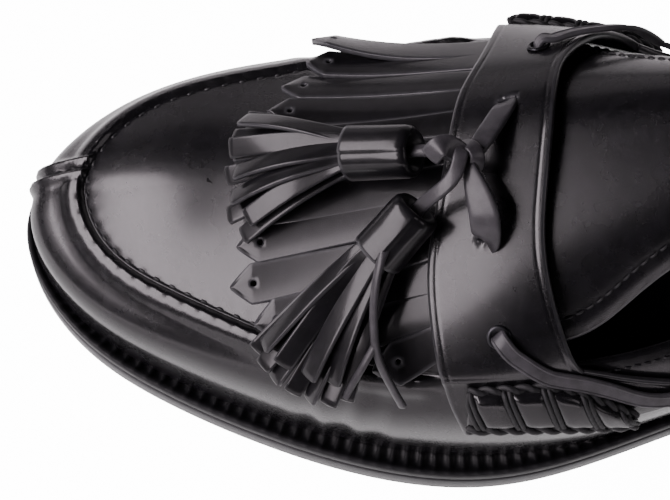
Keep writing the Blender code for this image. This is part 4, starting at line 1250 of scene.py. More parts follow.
@dataclass
class Upper:
    """The vamp and quarters in one skin, with the raised apron seam, and the lining."""

    last: Last
    pitch: float = 4.4
    ridge: float = 1.2
    flare: float = 1.2
    stitch_inset: float = 0.95
    starts: dict = field(default_factory=lambda: {Side.LATERAL: 50.0, Side.MEDIAL: 40.0})
    split_y: float = -15.5
    folds: Sequence[Fold] = (
        Fold(74.0, 46.0, 75.0, 16.0, 2.6, 0.45), Fold(66.0, 47.0, 80.0, 13.0, 2.4, 0.35),
        Fold(82.0, 43.0, 70.0, 12.0, 2.2, 0.3), Fold(72.0, -47.0, -78.0, 15.0, 2.6, 0.45),
        Fold(80.0, -46.0, -74.0, 12.0, 2.3, 0.3), Fold(-60.0, 32.0, 60.0, 14.0, 3.6, 0.5),
        Fold(-52.0, -34.0, -60.0, 14.0, 3.6, 0.5), Fold(-30.0, 36.0, 45.0, 12.0, 3.4, 0.35))

    def half_stations(self) -> Array:
        """Places from heel to toe, close together where the apron seam runs."""
        fine = np.linspace(0, HALF_ROUND, 3000)
        line = self.last.point(fine, 1.0)
        steps = np.linalg.norm(np.diff(line, axis=0), axis=1)
        foot, _ = self.last.outline(fine)
        tip = ease((line[1:, 0] - 118.0) / 14.0) * np.linalg.norm(np.diff(foot, axis=0), axis=1) / 0.9
        weight = steps / np.where(line[1:, 0] > 36.0, 0.62, 1.7)
        counts = np.concatenate([[0], np.cumsum(np.maximum(weight, tip))])
        places = np.interp(np.arange(0, int(counts[-1]) + 1) * counts[-1] / int(counts[-1]), counts, fine)
        throat = float(self.last.place_at(THROAT_X, Side.LATERAL))
        places[np.argmin(abs(places - throat))] = throat
        return places

    def relief(self, spot: Array, along: Array, across: Array, girth: Array, medial: Array) -> Array:
        """Height of seam, puckers, split toe and folds over the plain last.

        Args:
            spot: points on the last.
            along: distance along the apron seam.
            across: distance from the seam, positive down the wall.
            girth: how far up the wall.
            medial: which points are on the medial side.

        Returns:
            The heights.
        """
        x, y = spot[..., 0], spot[..., 1]
        start = np.where(medial, self.starts[Side.MEDIAL], self.starts[Side.LATERAL])
        front = ease((x - start) / 7.0)
        phase = np.abs((along / self.pitch) % 1.0 - 0.5) * self.pitch
        bump = ease(across / 1.0) * (1 - ease((across - 2.4) / 5.6))
        pull = hump(phase, 0.75)
        seam = self.ridge * bump * (1 - 0.06 * pull) - 0.12 * pull * hump(across - 0.7, 0.8)
        seam -= 0.55 * hump(across + 0.15, 0.45) + 0.1 * hump(phase, 1.2) * hump(across + 1.15, 0.7)
        seam += 0.05 * (1 - hump(phase, 1.6)) * hump(across + 2.4, 1.3)
        flare = self.flare * hump(girth, 0.2) * ease((x - 55.0) / 40.0) * (girth < 1.0)
        gap = y - self.split_y
        nose = ease((x - 118.0) / 6.0) * ease(girth / 0.2) * (girth < 1.0)
        lips = 1.75 * (hump(gap - 1.75, 1.25) + hump(gap + 1.75, 1.25)) - 0.7 * hump(gap, 0.5)
        height = np.maximum(seam * front, lips * nose) + np.minimum(seam * front, 0) + flare
        for fold in self.folds:
            turn = math.radians(fold.turn)
            run = (x - fold.x) * math.cos(turn) + (y - fold.y) * math.sin(turn)
            side = -(x - fold.x) * math.sin(turn) + (y - fold.y) * math.cos(turn)
            height = height - fold.depth * hump(run, fold.length) * (
                hump(side, fold.width) - 0.45 * hump(np.abs(side) - 2 * fold.width, fold.width))
        return height

    def build(self, bench: Bench) -> None:
        """Make the skin, the lining, the topline roll and every row of stitches."""
        last = self.last
        half = self.half_stations()
        places = np.concatenate([half, ROUND - half[-2:0:-1]])
        medial = places > HALF_ROUND
        top_line = last.point(places, 1.0)
        length = arc_lengths(top_line)
        wall_length = np.linalg.norm(top_line - last.point(places, 0.96), axis=1) / 0.04
        apron_length = np.linalg.norm(last.point(places, 1.04) - top_line, axis=1) / 0.04
        near = np.array([0, .15, .3, .45, .6, .8, 1.0, 1.3, 1.6, 2.0, 2.4, 2.8, 3.2, 3.6, 4.0, 4.4, 4.8,
                         5.2, 5.7, 6.3, 7.2])
        edge_girth = 1 - near[None] / wall_length[:, None]
        rest = edge_girth[:, -1:] * (1 - np.linspace(0, 1, 17)[None, 1:])
        wall = np.concatenate([edge_girth, rest], axis=1)
        skin = self.skin(places, wall, length, (1 - wall) * wall_length[:, None], medial)
        front = np.flatnonzero(top_line[:, 0] >= THROAT_X - 0.01)
        near = np.array([0, .15, .3, .45, .6, .8, 1.0, 1.2, 1.45, 1.7, 2.0, 2.4, 2.9, 3.5, 4.5])
        rise = near[None] / apron_length[front, None]
        rest = rise[:, -1:] + (1 - rise[:, -1:]) * np.linspace(0, 1, 23)[None, 1:]
        rise = np.concatenate([rise, rest], axis=1)
        apron = self.skin(places[front], 1 + rise, length[front], -rise * apron_length[front, None],
                          medial[front])
        rear = np.flatnonzero(top_line[:, 0] <= THROAT_X + 0.01)
        order = np.concatenate([rear[rear > front[-1] - 1], rear[rear < front[0] + 1]])
        rim = self.rim(places[order])
        shapes = [grid_shape(skin, last.normal(places[:, None], wall), wrap_rows=True),
                  grid_shape(apron, last.normal(places[front][:, None], 1 + rise)),
                  grid_shape(rim, rim - rim.mean(axis=1, keepdims=True))]
        shape = join([welded(join(shapes)), self.focus_patch(apron[:, -1])])
        bench.place("upper_leather", shape, BOX_CALF, "upper", "upper")
        self.make_lining(bench, places[::3])
        self.make_stitches(bench, places, length, wall_length, apron_length, medial)

    def focus_patch(self, ends: Array, reach: float = 2.6, over: float = 0.02) -> Shape:
        """A small even sheet over the point where the apron's rows meet.

        Args:
            ends: the last points of the apron's rows.
            reach: half the width of the sheet.
            over: how far it lies over the rows.

        Returns:
            The sheet, with its faces turned outward.
        """
        focus = ends[ends[:, 0].argmax()]
        base, _ = self.last.drape(focus[:1], focus[1:2], 0.0)
        steps = np.linspace(-reach, reach, 15)
        x, y = np.meshgrid(focus[0] + steps, focus[1] + steps, indexing="ij")
        lift = float(focus[2] - base.reshape(-1, 3)[0, 2]) + over
        points, normals = self.last.drape(x, y, lift)
        return grid_shape(points, normals)

    def skin(self, places: Array, girth: Array, length: Array, across: Array, medial: Array) -> Array:
        """Points of the outer leather over a grid of places and girths."""
        spot = self.last.point(places[:, None], girth)
        normal = self.last.normal(places[:, None], np.minimum(girth, 1.97))
        lift = self.relief(spot, length[:, None], across, girth, medial[:, None])
        return spot + normal * lift[..., None]

    def rim(self, places: Array) -> Array:
        """The rolled edge of the topline.

        Args:
            places: places behind the throat, in order.

        Returns:
            The rows over the edge.
        """
        edge = self.last.point(places, 1.0)
        normal = self.last.normal(places, 1.0, 0.02)
        up = unit(edge - self.last.point(places, 0.96))
        turn = np.linspace(0, math.pi, 9)
        middle = edge - normal * WALL / 2
        rows = [middle + normal * (math.cos(t) * WALL / 2) + up * (math.sin(t) * 0.9) for t in turn]
        return np.stack(rows, axis=1)

    def make_lining(self, bench: Bench, places: Array) -> None:
        """The lining of the quarters and vamp."""
        last = self.last
        girth = np.linspace(1.0, 0.02, 26)[None]
        normal = last.normal(places[:, None], girth)
        walls = last.point(places[:, None], girth) - normal * WALL
        front = np.flatnonzero(last.x(places) >= THROAT_X - 2.0)
        share = np.linspace(1.0, 2.0, 18)[None]
        over_normal = last.normal(places[front][:, None], share)
        over = last.point(places[front][:, None], share) - over_normal * WALL
        shapes = [grid_shape(walls, -normal, wrap_rows=True), grid_shape(over, -over_normal)]
        bench.place("lining", join(shapes), LINING_LEATHER, "upper")

    def make_stitches(self, bench: Bench, places: Array, length: Array, wall_length: Array,
                      apron_length: Array, medial: Array) -> None:
        """The apron's heavy thread and the fine row under the topline.

        Args:
            bench: where pieces are placed.
            places: places round the last.
            length: distance along the apron seam there, one more than the places.
            wall_length, apron_length: the width of the wall and of the apron there.
            medial: which places are on the medial side.
        """
        last = self.last
        x = last.point(places, 1.0)[:, 0]
        start = np.where(medial, self.starts[Side.MEDIAL], self.starts[Side.LATERAL]) + 3.0
        index = np.arange(int(length[-1] / self.pitch)) + 0.5
        spots = np.interp(index * self.pitch, length[:len(places)], places)
        keep = np.interp(spots, places, np.where(x > start, 1.0, 0.0)) > 0.5
        spots = spots[keep]
        lengths = np.interp(spots, places, apron_length)
        share = 1 + self.stitch_inset / lengths
        points = last.point(spots, share)
        runs = last.point(spots + 0.02, share) - last.point(spots - 0.02, share)
        normals = last.normal(spots, share)
        apron = stitches(points - normals * 0.3, runs, normals, 2.3, 0.42, 0.12)
        bench.place("apron_stitches", apron, APRON_THREAD, "upper")
        rear = np.linspace(float(last.place_at(THROAT_X - 4, Side.MEDIAL)) - ROUND,
                           float(last.place_at(THROAT_X - 4, Side.LATERAL)), 900) % ROUND
        girth = 1 - 2.2 / np.interp(rear, places, wall_length)
        path = last.point(rear, girth)
        normals = last.normal(rear, girth)
        bench.place("topline_stitches", row_of_stitches(path, normals, 2.3, 1.9, 0.24, 0.2), BLACK_THREAD,
                    "upper")


def welded(shape: Shape, reach: float = 0.002) -> Shape:
    """The same shape with doubled points made one."""
    keys = np.round(shape.points / reach).astype(np.int64)
    _, first, number = np.unique(keys, axis=0, return_index=True, return_inverse=True)
    number = number.ravel()
    faces = number[shape.faces]
    ordered = np.sort(faces, axis=1)
    thin = (np.diff(ordered, axis=1) == 0).any(axis=1)
    faces[thin] = shape.faces[thin] + len(first)
    edge = None if shape.edge is None else np.concatenate([shape.edge[first], shape.edge])
    return Shape(np.concatenate([shape.points[first], shape.points]), faces, edge)


@dataclass
class Tongue:
    """The tongue behind the saddle, with its sewn border."""

    last: Last
    xs: tuple = (34.4, 24.0, 16.0, 9.0, -5.0, -14.0, -20.0, -24.0, -26.0)
    halves: tuple = (37.5, 36.8, 33.8, 29.4, 22.4, 18.4, 15.2, 11.6, 6.0)
    border: float = 3.3

    def outline(self, x: Array, share: Array) -> Array:
        """Y at a share from -1 to 1 across the tongue."""
        return LineSpline(self.xs, self.halves)(x) * np.sin(share * math.pi / 2)

    def build(self, bench: Bench) -> None:
        """Make the tongue and its row of stitches."""
        turn = np.linspace(0, 1, 70)
        rows = 34.0 - 60.0 * (1 - (1 - turn) ** 1.6)
        columns = np.linspace(-1, 1, 61)
        x = np.broadcast_to(rows[:, None], (len(rows), len(columns)))
        y = self.outline(x, columns[None])
        points, normals = self.last.drape(x, y, -WALL)
        border = self.edge_path(0.0)
        flat = np.stack([x, y], axis=-1).reshape(-1, 2)
        away = np.min(np.linalg.norm(flat[:, None] - border[None, ::4, :2], axis=2), axis=1).reshape(x.shape)
        lift = -0.22 * hump(away - self.border, 0.6) + 0.12 * hump(away - self.border * 0.5, 1.2)
        points = points + normals * lift[..., None]
        shape = slab(points.reshape(-1, 3), normals.reshape(-1, 3), grid_faces(*x.shape), WALL)
        bench.place("tongue_leather", shape, BOX_CALF, "tongue", "tongue")
        path = self.edge_path(self.border)
        spots, normals = self.last.drape(path[:, 0], path[:, 1], -0.1)
        bench.place("tongue_stitches", row_of_stitches(spots, normals, 2.6, 2.1, 0.27, 0.24), BLACK_THREAD,
                    "tongue")

    def edge_path(self, inset: float) -> Array:
        """The tongue's free edge, moved inward, as points of the floor."""
        half = LineSpline(self.xs, self.halves)
        x = 30.0 - 56.0 * (1 - (1 - np.linspace(0, 1, 200)) ** 1.6)
        y = half(x)
        line = np.concatenate([np.stack([x, y], 1), np.stack([x, -y], 1)[::-1]])
        run = unit(np.gradient(line, axis=0))
        inner = line + np.stack([-run[:, 1], run[:, 0]], axis=1) * inset
        return inner if inset == 0.0 else inner[(np.abs(inner[:, 1]) > 0.5)]


class Strip(NamedTuple):
    """A strip of the kiltie: where it leaves the base, where its point lies, its lift and its turn."""

    root_y: float
    tip_x: float
    tip_y: float
    tip_lift: float
    turn: float


@dataclass
class Kiltie:
    """The fringed flap over the vamp, cut into pointed strips, each with a punched hole."""

    last: Last
    root_half: float = 2.95
    tip_half: float = 3.75
    point: float = 4.6
    hole: float = 1.2
    root_ys: tuple = (-40.0, -25.0, -3.0, 28.0, 40.0)
    root_xs: tuple = (37.0, 40.5, 46.5, 51.0, 49.0)
    strips: Sequence[Strip] = (
        Strip(-33.7, 79.0, -40.0, 5.0, 30.0), Strip(-28.3, 80.5, -34.5, 2.6, -8.0),
        Strip(-20.9, 86.5, -28.0, 1.6, 5.0), Strip(-15.0, 89.5, -20.5, 1.3, -4.0),
        Strip(-8.7, 93.0, -13.0, 1.2, 3.0), Strip(-2.5, 95.0, -5.0, 1.2, -3.0),
        Strip(3.8, 96.0, 3.0, 1.2, 4.0), Strip(10.1, 96.0, 11.0, 1.2, -3.0),
        Strip(16.3, 97.5, 19.0, 1.2, 4.0), Strip(22.6, 92.0, 27.0, 1.4, -5.0),
        Strip(28.9, 79.0, 33.8, 2.2, 6.0), Strip(34.6, 65.0, 38.4, 2.6, -8.0))

    def build(self, bench: Bench) -> None:
        """Make every strip as one joined piece."""
        shapes = [self.strip(strip, number) for number, strip in enumerate(self.strips)]
        bench.place("kiltie_fringe", join(shapes), STRAP_LEATHER, "kiltie", "kiltie")

    def strip(self, strip: Strip, number: int) -> Shape:
        """One strip from under the saddle to its point.

        Args:
            strip: its row of the table.
            number: its place in the row, for small differences.

        Returns:
            The closed strip.
        """
        root_x = float(LineSpline(self.root_ys, self.root_xs)(strip.root_y))
        start = np.array([root_x, strip.root_y])
        run = np.array([strip.tip_x, strip.tip_y]) - start
        length = float(np.linalg.norm(run))
        run /= length
        across = np.array([-run[1], run[0]])
        head = length - 14.0
        rows = np.concatenate([np.linspace(-6.0, head, 24)[:-1], np.linspace(head, length, 29)])
        columns = np.linspace(-1, 1, 17)
        share = np.clip(rows / length, 0, 1)
        half = self.root_half + (self.tip_half - self.root_half) * ease(share * 1.3)
        half = half * np.minimum(1.0, ((length - rows) / self.point + 0.03)) ** 0.9
        bend = 0.7 * math.sin(2.3 * number + 1.0) * np.sin(share * math.pi)
        flat = start + run * rows[:, None] + across * bend[:, None]
        flat = flat[:, None] + across * (half[:, None] * columns)[..., None]
        turn = math.sin(math.radians(strip.turn))
        out = share[:, None]
        lift = LAY + strip.tip_lift * out ** 2 + 0.25 * out * math.sin(1.7 * number) ** 2
        tilt = half[:, None] * (columns + 1 if turn > 0 else columns - 1) * turn * out ** 2
        crown = 0.35 * out * (1 - columns ** 2)
        points, normals = self.last.drape(flat[..., 0], flat[..., 1], lift + tilt + crown)
        points, normals = points.reshape(-1, 3), normals.reshape(-1, 3)
        faces = grid_faces(len(rows), len(columns))
        centre = points.reshape(len(rows), len(columns), 3)[:, 8]
        spot = centre[np.argmin(abs(rows - (length - self.point - 0.3)))]
        points, faces = punch(points, faces, spot, spot, self.hole)
        return slab(points, normals, faces, KILTIE_THICKNESS, 0.45)


class Band(NamedTuple):
    """A row of the saddle: side and girth, the x of its front and rear edges, and its lift."""

    side: Side
    girth: float
    front: float
    rear: float
    lift: float


@dataclass
class Saddle:
    """The strap over the instep with its slots and eyelets."""

    last: Last
    bands: Sequence[Band] = (
        Band(Side.LATERAL, 0.62, 45.0, -6.0, LAY),
        Band(Side.LATERAL, 0.74, 46.6, -4.0, LAY),
        Band(Side.LATERAL, 0.88, 48.8, 7.0, LAY),
        Band(Side.LATERAL, 0.98, 50.2, 17.5, 1.2),
        Band(Side.LATERAL, 1.08, 51.5, 23.5, KILTIE_COVER),
        Band(Side.LATERAL, 1.40, 53.2, 28.6, KILTIE_COVER),
        Band(Side.LATERAL, 1.70, 51.0, 28.8, KILTIE_COVER),
        Band(Side.LATERAL, 2.00, 48.0, 27.2, KILTIE_COVER),
        Band(Side.MEDIAL, 1.70, 45.0, 25.2, KILTIE_COVER),
        Band(Side.MEDIAL, 1.40, 39.6, 20.0, KILTIE_COVER),
        Band(Side.MEDIAL, 1.08, 35.2, 8.0, KILTIE_COVER),
        Band(Side.MEDIAL, 0.98, 34.6, 0.5, 1.2),
        Band(Side.MEDIAL, 0.88, 34.0, -6.0, LAY),
        Band(Side.MEDIAL, 0.74, 33.4, -12.0, LAY),
        Band(Side.MEDIAL, 0.62, 33.0, -14.0, LAY))
    slots: Sequence = ((35.6, -10.4), (40.7, 17.5))
    slot_size: tuple = (7.0, 2.2)
    eyelets: dict = field(default_factory=lambda: {Side.LATERAL: (38.3, 35.1), Side.MEDIAL: (27.9, -25.7)})
    eyelet_hole: float = 1.9

    def surface(self, rows: int, columns: int) -> tuple[Array, Array]:
        """The strap's inner face.

        Args:
            rows: points over the instep.
            columns: points from rear to front edge.

        Returns:
            Points and outward directions, both as grids.
        """
        index = np.arange(len(self.bands))
        turn = [(2 - b.girth) * b.side.value for b in self.bands]
        table = [[t, b.front, b.rear, b.lift] for t, b in zip(turn, self.bands)]
        found = LineSpline(index, table)(np.linspace(0, len(index) - 1, rows))
        turn, front, rear, lift = found.T
        share = np.linspace(0, 1, columns)[None]
        share = 0.6 * share + 0.2 * (1 - np.cos(share * math.pi))
        x = rear[:, None] + (front - rear)[:, None] * share
        lateral = self.last.place_at(x, Side.LATERAL)
        place = np.where(turn[:, None] > 0, lateral, ROUND - lateral)
        spots = self.last.point(place, np.broadcast_to(2 - np.abs(turn)[:, None], place.shape))
        down = np.gradient(spots, axis=0)
        along = np.gradient(spots, axis=1)
        normals = unit(np.cross(along, down))
        normals *= np.sign(normals[..., 2:].mean())
        near = np.minimum(share, 1 - share) * (front - rear)[:, None]
        crease = -0.08 * hump(near - 1.2, 0.3)
        return spots + normals * (np.maximum(lift, LAY)[:, None] + crease)[..., None], normals

    def build(self, bench: Bench) -> None:
        """Make the strap and its eyelets."""
        points, normals = self.surface(300, 72)
        faces = grid_faces(*points.shape[:2])
        flat, flat_normals = points.reshape(-1, 3), normals.reshape(-1, 3)
        long, wide = self.slot_size
        along = np.array(((long - wide) / 2, 0, 0))
        for x, y in self.slots:
            spot, _ = self.last.drape(x, y, KILTIE_COVER)
            flat, faces = punch(flat, faces, spot - along, spot + along, wide / 2)
        for x, y in self.eyelets.values():
            spot, _ = self.last.drape(x, y, KILTIE_COVER)
            flat, faces = punch(flat, faces, spot, spot, self.eyelet_hole)
        shape = slab(flat, flat_normals, faces, SADDLE_THICKNESS, 0.6)
        bench.place("saddle_strap", shape, BOX_CALF, "saddle", "saddle")
        for side, (x, y) in self.eyelets.items():
            self.make_eyelet(bench, side, x, y)

    def make_eyelet(self, bench: Bench, side: Side, x: float, y: float) -> None:
        """A rolled metal ring that lines an eyelet hole."""
        centre, normal = self.last.drape(x, y, KILTIE_COVER + SADDLE_THICKNESS)
        side_way = unit(np.cross(normal, (1.0, 0.0, 0.0)))
        fore = np.cross(side_way, normal)
        turn = np.linspace(0, 2 * math.pi, 48, endpoint=False)
        profile = [(1.7, -1.2), (1.65, 0.1), (1.8, 0.5), (2.1, 0.72), (2.5, 0.68), (2.75, 0.45), (2.8, 0.25),
                   (2.4, 0.2), (1.9, 0.0), (1.9, -1.2)]
        rows = [centre + (fore * np.cos(turn)[:, None] + side_way * np.sin(turn)[:, None]) * r + normal * h
                for r, h in profile]
        points = np.array(rows)
        middle = (rows[3] + rows[7]) / 2
        shape = grid_shape(points, points - middle, True, True)
        name = "eyelet_" + side.name.lower()
        bench.place(name + "_ring", shape, BLACK_ENAMEL, "eyelet", name)


@dataclass
class BeefRoll:
    """The sewn roll over an end of the saddle, pulled in by its threads."""

    last: Last
    side: Side
    front: float
    rear: float
    rungs: int = 4
    slant: float = 0.1
    height: float = 2.5

    def build(self, bench: Bench) -> None:
        """Make the roll and its threads."""
        last = self.last
        rows, columns = 150, 26
        along = np.linspace(0, 1, rows)[:, None]
        across = np.linspace(0, 1, columns)[None]
        x = self.front + (self.rear - self.front) * along
        high = 0.95 - 0.3 * np.maximum((along - 0.45) / 0.55, 0.0) ** 1.8
        low = 0.73 - 0.13 * along ** 2
        girth = low + (high - low) * across
        place = np.broadcast_to(last.place_at(x, self.side), girth.shape)
        spots = last.point(place, girth)
        normals = last.normal(place, girth)
        base = LAY + SADDLE_THICKNESS + LAY
        turn = (along - 0.04 + self.slant * (across - 0.5)) / 0.92 * self.rungs
        pulled = hump(np.abs(turn - np.round(turn)) / self.rungs * abs(self.front - self.rear), 1.5)
        crest = 1 - np.abs(2 * across - 1) ** 7
        ends = np.minimum(1.0, np.minimum(along * 12 + 0.3, (1 - along) * 12 + 0.3))
        lift = base + 0.9 + (self.height - 0.9 + 0.9 * across) * crest * (1 - 0.5 * pulled) * ends
        top = spots + normals * lift[..., None]
        foot = spots + normals * base
        faces = grid_faces(rows, columns)
        shape = self.close(top.reshape(-1, 3), foot.reshape(-1, 3), normals.reshape(-1, 3), faces)
        name = "beef_roll_" + self.side.name.lower()
        bench.place(name + "_roll", shape, BOX_CALF, "beef_roll", name)
        size = abs(self.front - self.rear)
        threads = []
        for share, rise in ((0.0, 0.7), (1.0, -0.2)):
            line = np.linspace(0.01, 0.985, 120)
            path, ups = self.on_sheet(top, normals, line, np.full(120, share))
            threads += twined(path + ups * rise, ups, 0.82, 8.0)
        for rung in range(self.rungs + 1):
            for shift in (-0.6, 0.6):
                share = np.linspace(0.0, 1.0, 22)
                line = 0.04 + 0.92 * rung / self.rungs - self.slant * (share - 0.5) + shift / size
                path, ups = self.on_sheet(top, normals, line, share)
                threads.append(swept(path + ups * 0.4, ups, 1.25, 1.0, 1.0, 8))
        bench.place(name + "_threads", join(threads), BLACK_THREAD, "beef_roll")

    @staticmethod
    def on_sheet(top: Array, normals: Array, line: Array, share: Array) -> tuple[Array, Array]:
        """Points and directions of the roll's skin, at shares along and across it."""
        rows, columns = top.shape[:2]
        along, across = np.clip(line, 0, 0.999) * (rows - 1), np.clip(share, 0, 0.999) * (columns - 1)
        i, j = along.astype(int), across.astype(int)
        u, v = (along - i)[:, None], (across - j)[:, None]
        path = (top[i, j] * (1 - u) + top[i + 1, j] * u) * (1 - v) + (
            top[i, j + 1] * (1 - u) + top[i + 1, j + 1] * u) * v
        return path, normals[i, j]

    @staticmethod
    def close(top: Array, foot: Array, normals: Array, faces: Array) -> Shape:
        """Close a domed sheet down on to its foot."""
        sheet = Shape(top, faces).turned(normals)
        count = len(top)
        starts, ends = loose_edges(sheet.faces, count)
        sides = np.stack([starts, starts + count, ends + count, ends], axis=1)
        return Shape(np.concatenate([top, foot]),
                     np.concatenate([sheet.faces, sheet.faces[:, ::-1] + count, sides]))


@dataclass
class CollarLace:
    """The flat lace that lies on the quarters, from eyelet round the heel to eyelet."""

    last: Last
    saddle: Saddle
    width: float = 3.9
    thickness: float = 1.2
    lay: float = 0.7
    routes: dict = field(default_factory=lambda: {
        Side.LATERAL: [(34.4, 1.08), (32.2, 1.05), (29.6, 1.02), (25.6, 0.99), (19.7, 0.95), (12.7, 0.87),
                       (5.8, 0.77), (-2.0, 0.71), (-14.0, 0.69), (-45.0, 0.7), (-80.0, 0.75),
                       (-110.0, 0.81)],
        Side.MEDIAL: [(23.6, 1.38), (20.0, 1.33), (16.0, 1.29), (10.0, 1.22), (4.5, 1.12), (-1.0, 1.02),
                      (-7.0, 0.94), (-14.0, 0.88), (-24.0, 0.83), (-50.0, 0.78), (-80.0, 0.78),
                      (-110.0, 0.82)]})

    def lift(self, side: Side, x: float, girth: float) -> float:
        """How far the lace lies over the last: over the saddle, then down on to the quarter."""
        rows = sorted((row for row in self.saddle.bands if row.side is side), key=lambda row: row.girth)
        girths = [row.girth for row in rows]
        rear = np.interp(girth, girths, [row.rear for row in rows])
        over = np.interp(girth, girths, [row.lift for row in rows]) + SADDLE_THICKNESS + LAY + 0.15
        return self.lay + (over - self.lay) * float(ease((x - rear + 12.0) / 6.0))

    def build(self, bench: Bench) -> None:
        """Make the lace and the turns of it that go down through the eyelets."""
        last = self.last
        rows = [(float(last.place_at(x, Side.LATERAL)), girth, self.lift(Side.LATERAL, x, girth))
                for x, girth in self.routes[Side.LATERAL]]
        rows += [(place, 0.845, self.lay) for place in (0.9, 0.0, -0.9)]
        rows += [(float(last.place_at(x, Side.MEDIAL)) - ROUND, girth, self.lift(Side.MEDIAL, x, girth))
                 for x, girth in reversed(self.routes[Side.MEDIAL])]
        found = curve_through(rows, 420)
        place, girth, lift = found[:, 0] % ROUND, found[:, 1], np.maximum(found[:, 2], self.lay)
        normals = last.normal(place, girth)
        spots = last.point(place, girth) + normals * (lift + self.thickness / 2)[:, None]
        for side, at_start in ((Side.LATERAL, True), (Side.MEDIAL, False)):
            x, y = self.saddle.eyelets[side]
            hole, up = last.drape(x, y, KILTIE_COVER + SADDLE_THICKNESS)
            lean = unit(hole - (spots[0] if at_start else spots[-1]))
            dive = np.array([hole - lean * 1.3 + up * 1.35, hole + up * 0.8, hole + lean * 0.4 - up * 0.5,
                             hole + lean * 0.4 - up * 1.8])
            ups = np.array([up + lean * 0.2, up + lean * 0.8, up * 0.4 + lean, lean])
            if at_start:
                spots = np.concatenate([dive[::-1], spots])
                normals = np.concatenate([ups[::-1], normals])
            else:
                spots = np.concatenate([spots, dive])
                normals = np.concatenate([normals, ups])
        length = arc_lengths(spots)
        fine = LineSpline(length, spots)(np.linspace(0, length[-1], 900))
        fine_normals = unit(LineSpline(length, normals)(np.linspace(0, length[-1], 900)))
        side = unit(np.cross(fine_normals, np.gradient(fine, axis=0)))
        rise = fine_normals * (self.thickness / 2 - 0.1)
        lips = [swept(fine + side * way * (self.width / 2 - 0.55) + rise, fine_normals, 0.62, 0.5, 1.0, 8)
                for way in (-1, 1)]
        shape = join([swept(fine, fine_normals, self.width, self.thickness, 0.4), *lips])
        # The collar lace's lighter colour is a painted highlight.
        bench.place("collar_lace_band", shape, COLLAR_LACE_PAINTED_HIGHLIGHT, "collar_lace", "collar_lace")


class Turn(NamedTuple):
    """A turn of the knot: its route, its steps, which way its face looks, and its section."""

    route: Sequence
    steps: int
    up: tuple
    width: float
    thickness: float
    square: float


@dataclass
class Tie:
    """The flat thong from slot to slot, its knot, loop and loose tails."""

    last: Last
    width: float = 5.4
    thickness: float = 1.5
    route: Sequence = (
        (36.6, -12.0, 70.0), (37.4, -9.8, 75.4), (40.2, -4.4, 77.8), (43.4, 1.4, 79.4), (46.0, 6.2, 79.8),
        (46.0, 8.6, 79.6), (44.8, 12.6, 78.6), (43.2, 17.6, 76.4), (42.5, 20.6, 72.2), (41.6, 19.6, 68.0),
        (41.0, 18.2, 64.4))
    widths: Sequence = (4.6, 5.0, 5.0, 4.6, 3.2, 3.4, 5.4, 6.8, 6.6, 5.8, 4.6)
    thin_tail: Sequence = (
        (62.6, 21.6, 69.0), (64.9, 24.6, 70.0), (66.5, 31.5, 64.5), (66.5, 36.9, 59.0), (65.8, 40.7, 54.5),
        (63.4, 44.5, 49.0), (59.9, 48.2, 42.0))
    branch: Sequence = ((66.3, 39.2, 56.0), (69.1, 43.0, 52.0), (71.0, 45.2, 48.6), (72.6, 47.2, 45.0))
    turns: Sequence[Turn] = (
        Turn(((48.4, 4.6, 80.4), (50.6, 4.0, 82.2), (52.8, 4.4, 82.4), (54.6, 5.4, 80.0)),
             24, (0.1, 0.35, 1.0), 4.8, 1.3, 0.4),
        Turn(((48.0, 5.0, 78.6), (52.4, 3.6, 78.6), (56.2, 2.4, 77.0), (59.6, 1.6, 75.0)),
             24, (0.0, 0.0, 1.0), 2.8, 2.0, 0.8),
        Turn(((46.2, 5.8, 79.0), (47.9, 5.1, 81.6), (49.3, 9.6, 80.6), (52.6, 12.4, 77.6),
              (55.6, 13.6, 74.4), (58.0, 15.2, 71.6)), 40, (0.2, 0.2, 1.0), 3.2, 1.5, 0.5),
        Turn(((45.8, 8.2, 77.4), (44.6, 6.2, 80.6), (46.0, 3.6, 81.2), (48.4, 2.6, 77.6)),
             30, (-0.3, 0.1, 1.0), 3.4, 1.5, 0.42))

    def build(self, bench: Bench) -> dict:
        """Make the thong, the knot and the tails.

        Args:
            bench: where pieces are placed.

        Returns:
            The pieces by name.
        """
        made = {}
        path = curve_through(self.route, 60)
        ups = self.last.drape(path[:, 0], path[:, 1], 0.0)[1]
        ups = unit(ups + np.array([0.25, 0.2, 0.3]))
        widths = curve_through(self.widths, 60)
        made["thong"] = bench.place("thong", swept(path, ups, widths, self.thickness, 0.42), LACE_LEATHER,
                                    "thong", "thong_knot")
        self.route_points = path
        parts = []
        for turn in self.turns:
            parts.append(swept(curve_through(turn.route, turn.steps), np.tile(turn.up, (turn.steps, 1)),
                               turn.width, turn.thickness, turn.square))
        made["knot"] = bench.place("thong_knot_turns", join(parts), LACE_LEATHER, "thong")
        tail = curve_through(self.thin_tail, 60)
        side = np.tile([0.5, 0.6, 0.6], (60, 1))
        branch = curve_through(self.branch, 30)
        shapes = [swept(tail, side, 1.9, 1.3, 0.6, 12), swept(branch, side[:30], 1.7, 1.2, 0.6, 12)]
        made["tails"] = bench.place("thong_tails", join(shapes), LACE_LEATHER, "thong")
        return made


class Tip(NamedTuple):
    """Where a tassel strip ends: x, y, z, its width there, and which layer it leaves the cap in."""

    x: float
    y: float
    z: float
    width: float
    layer: float


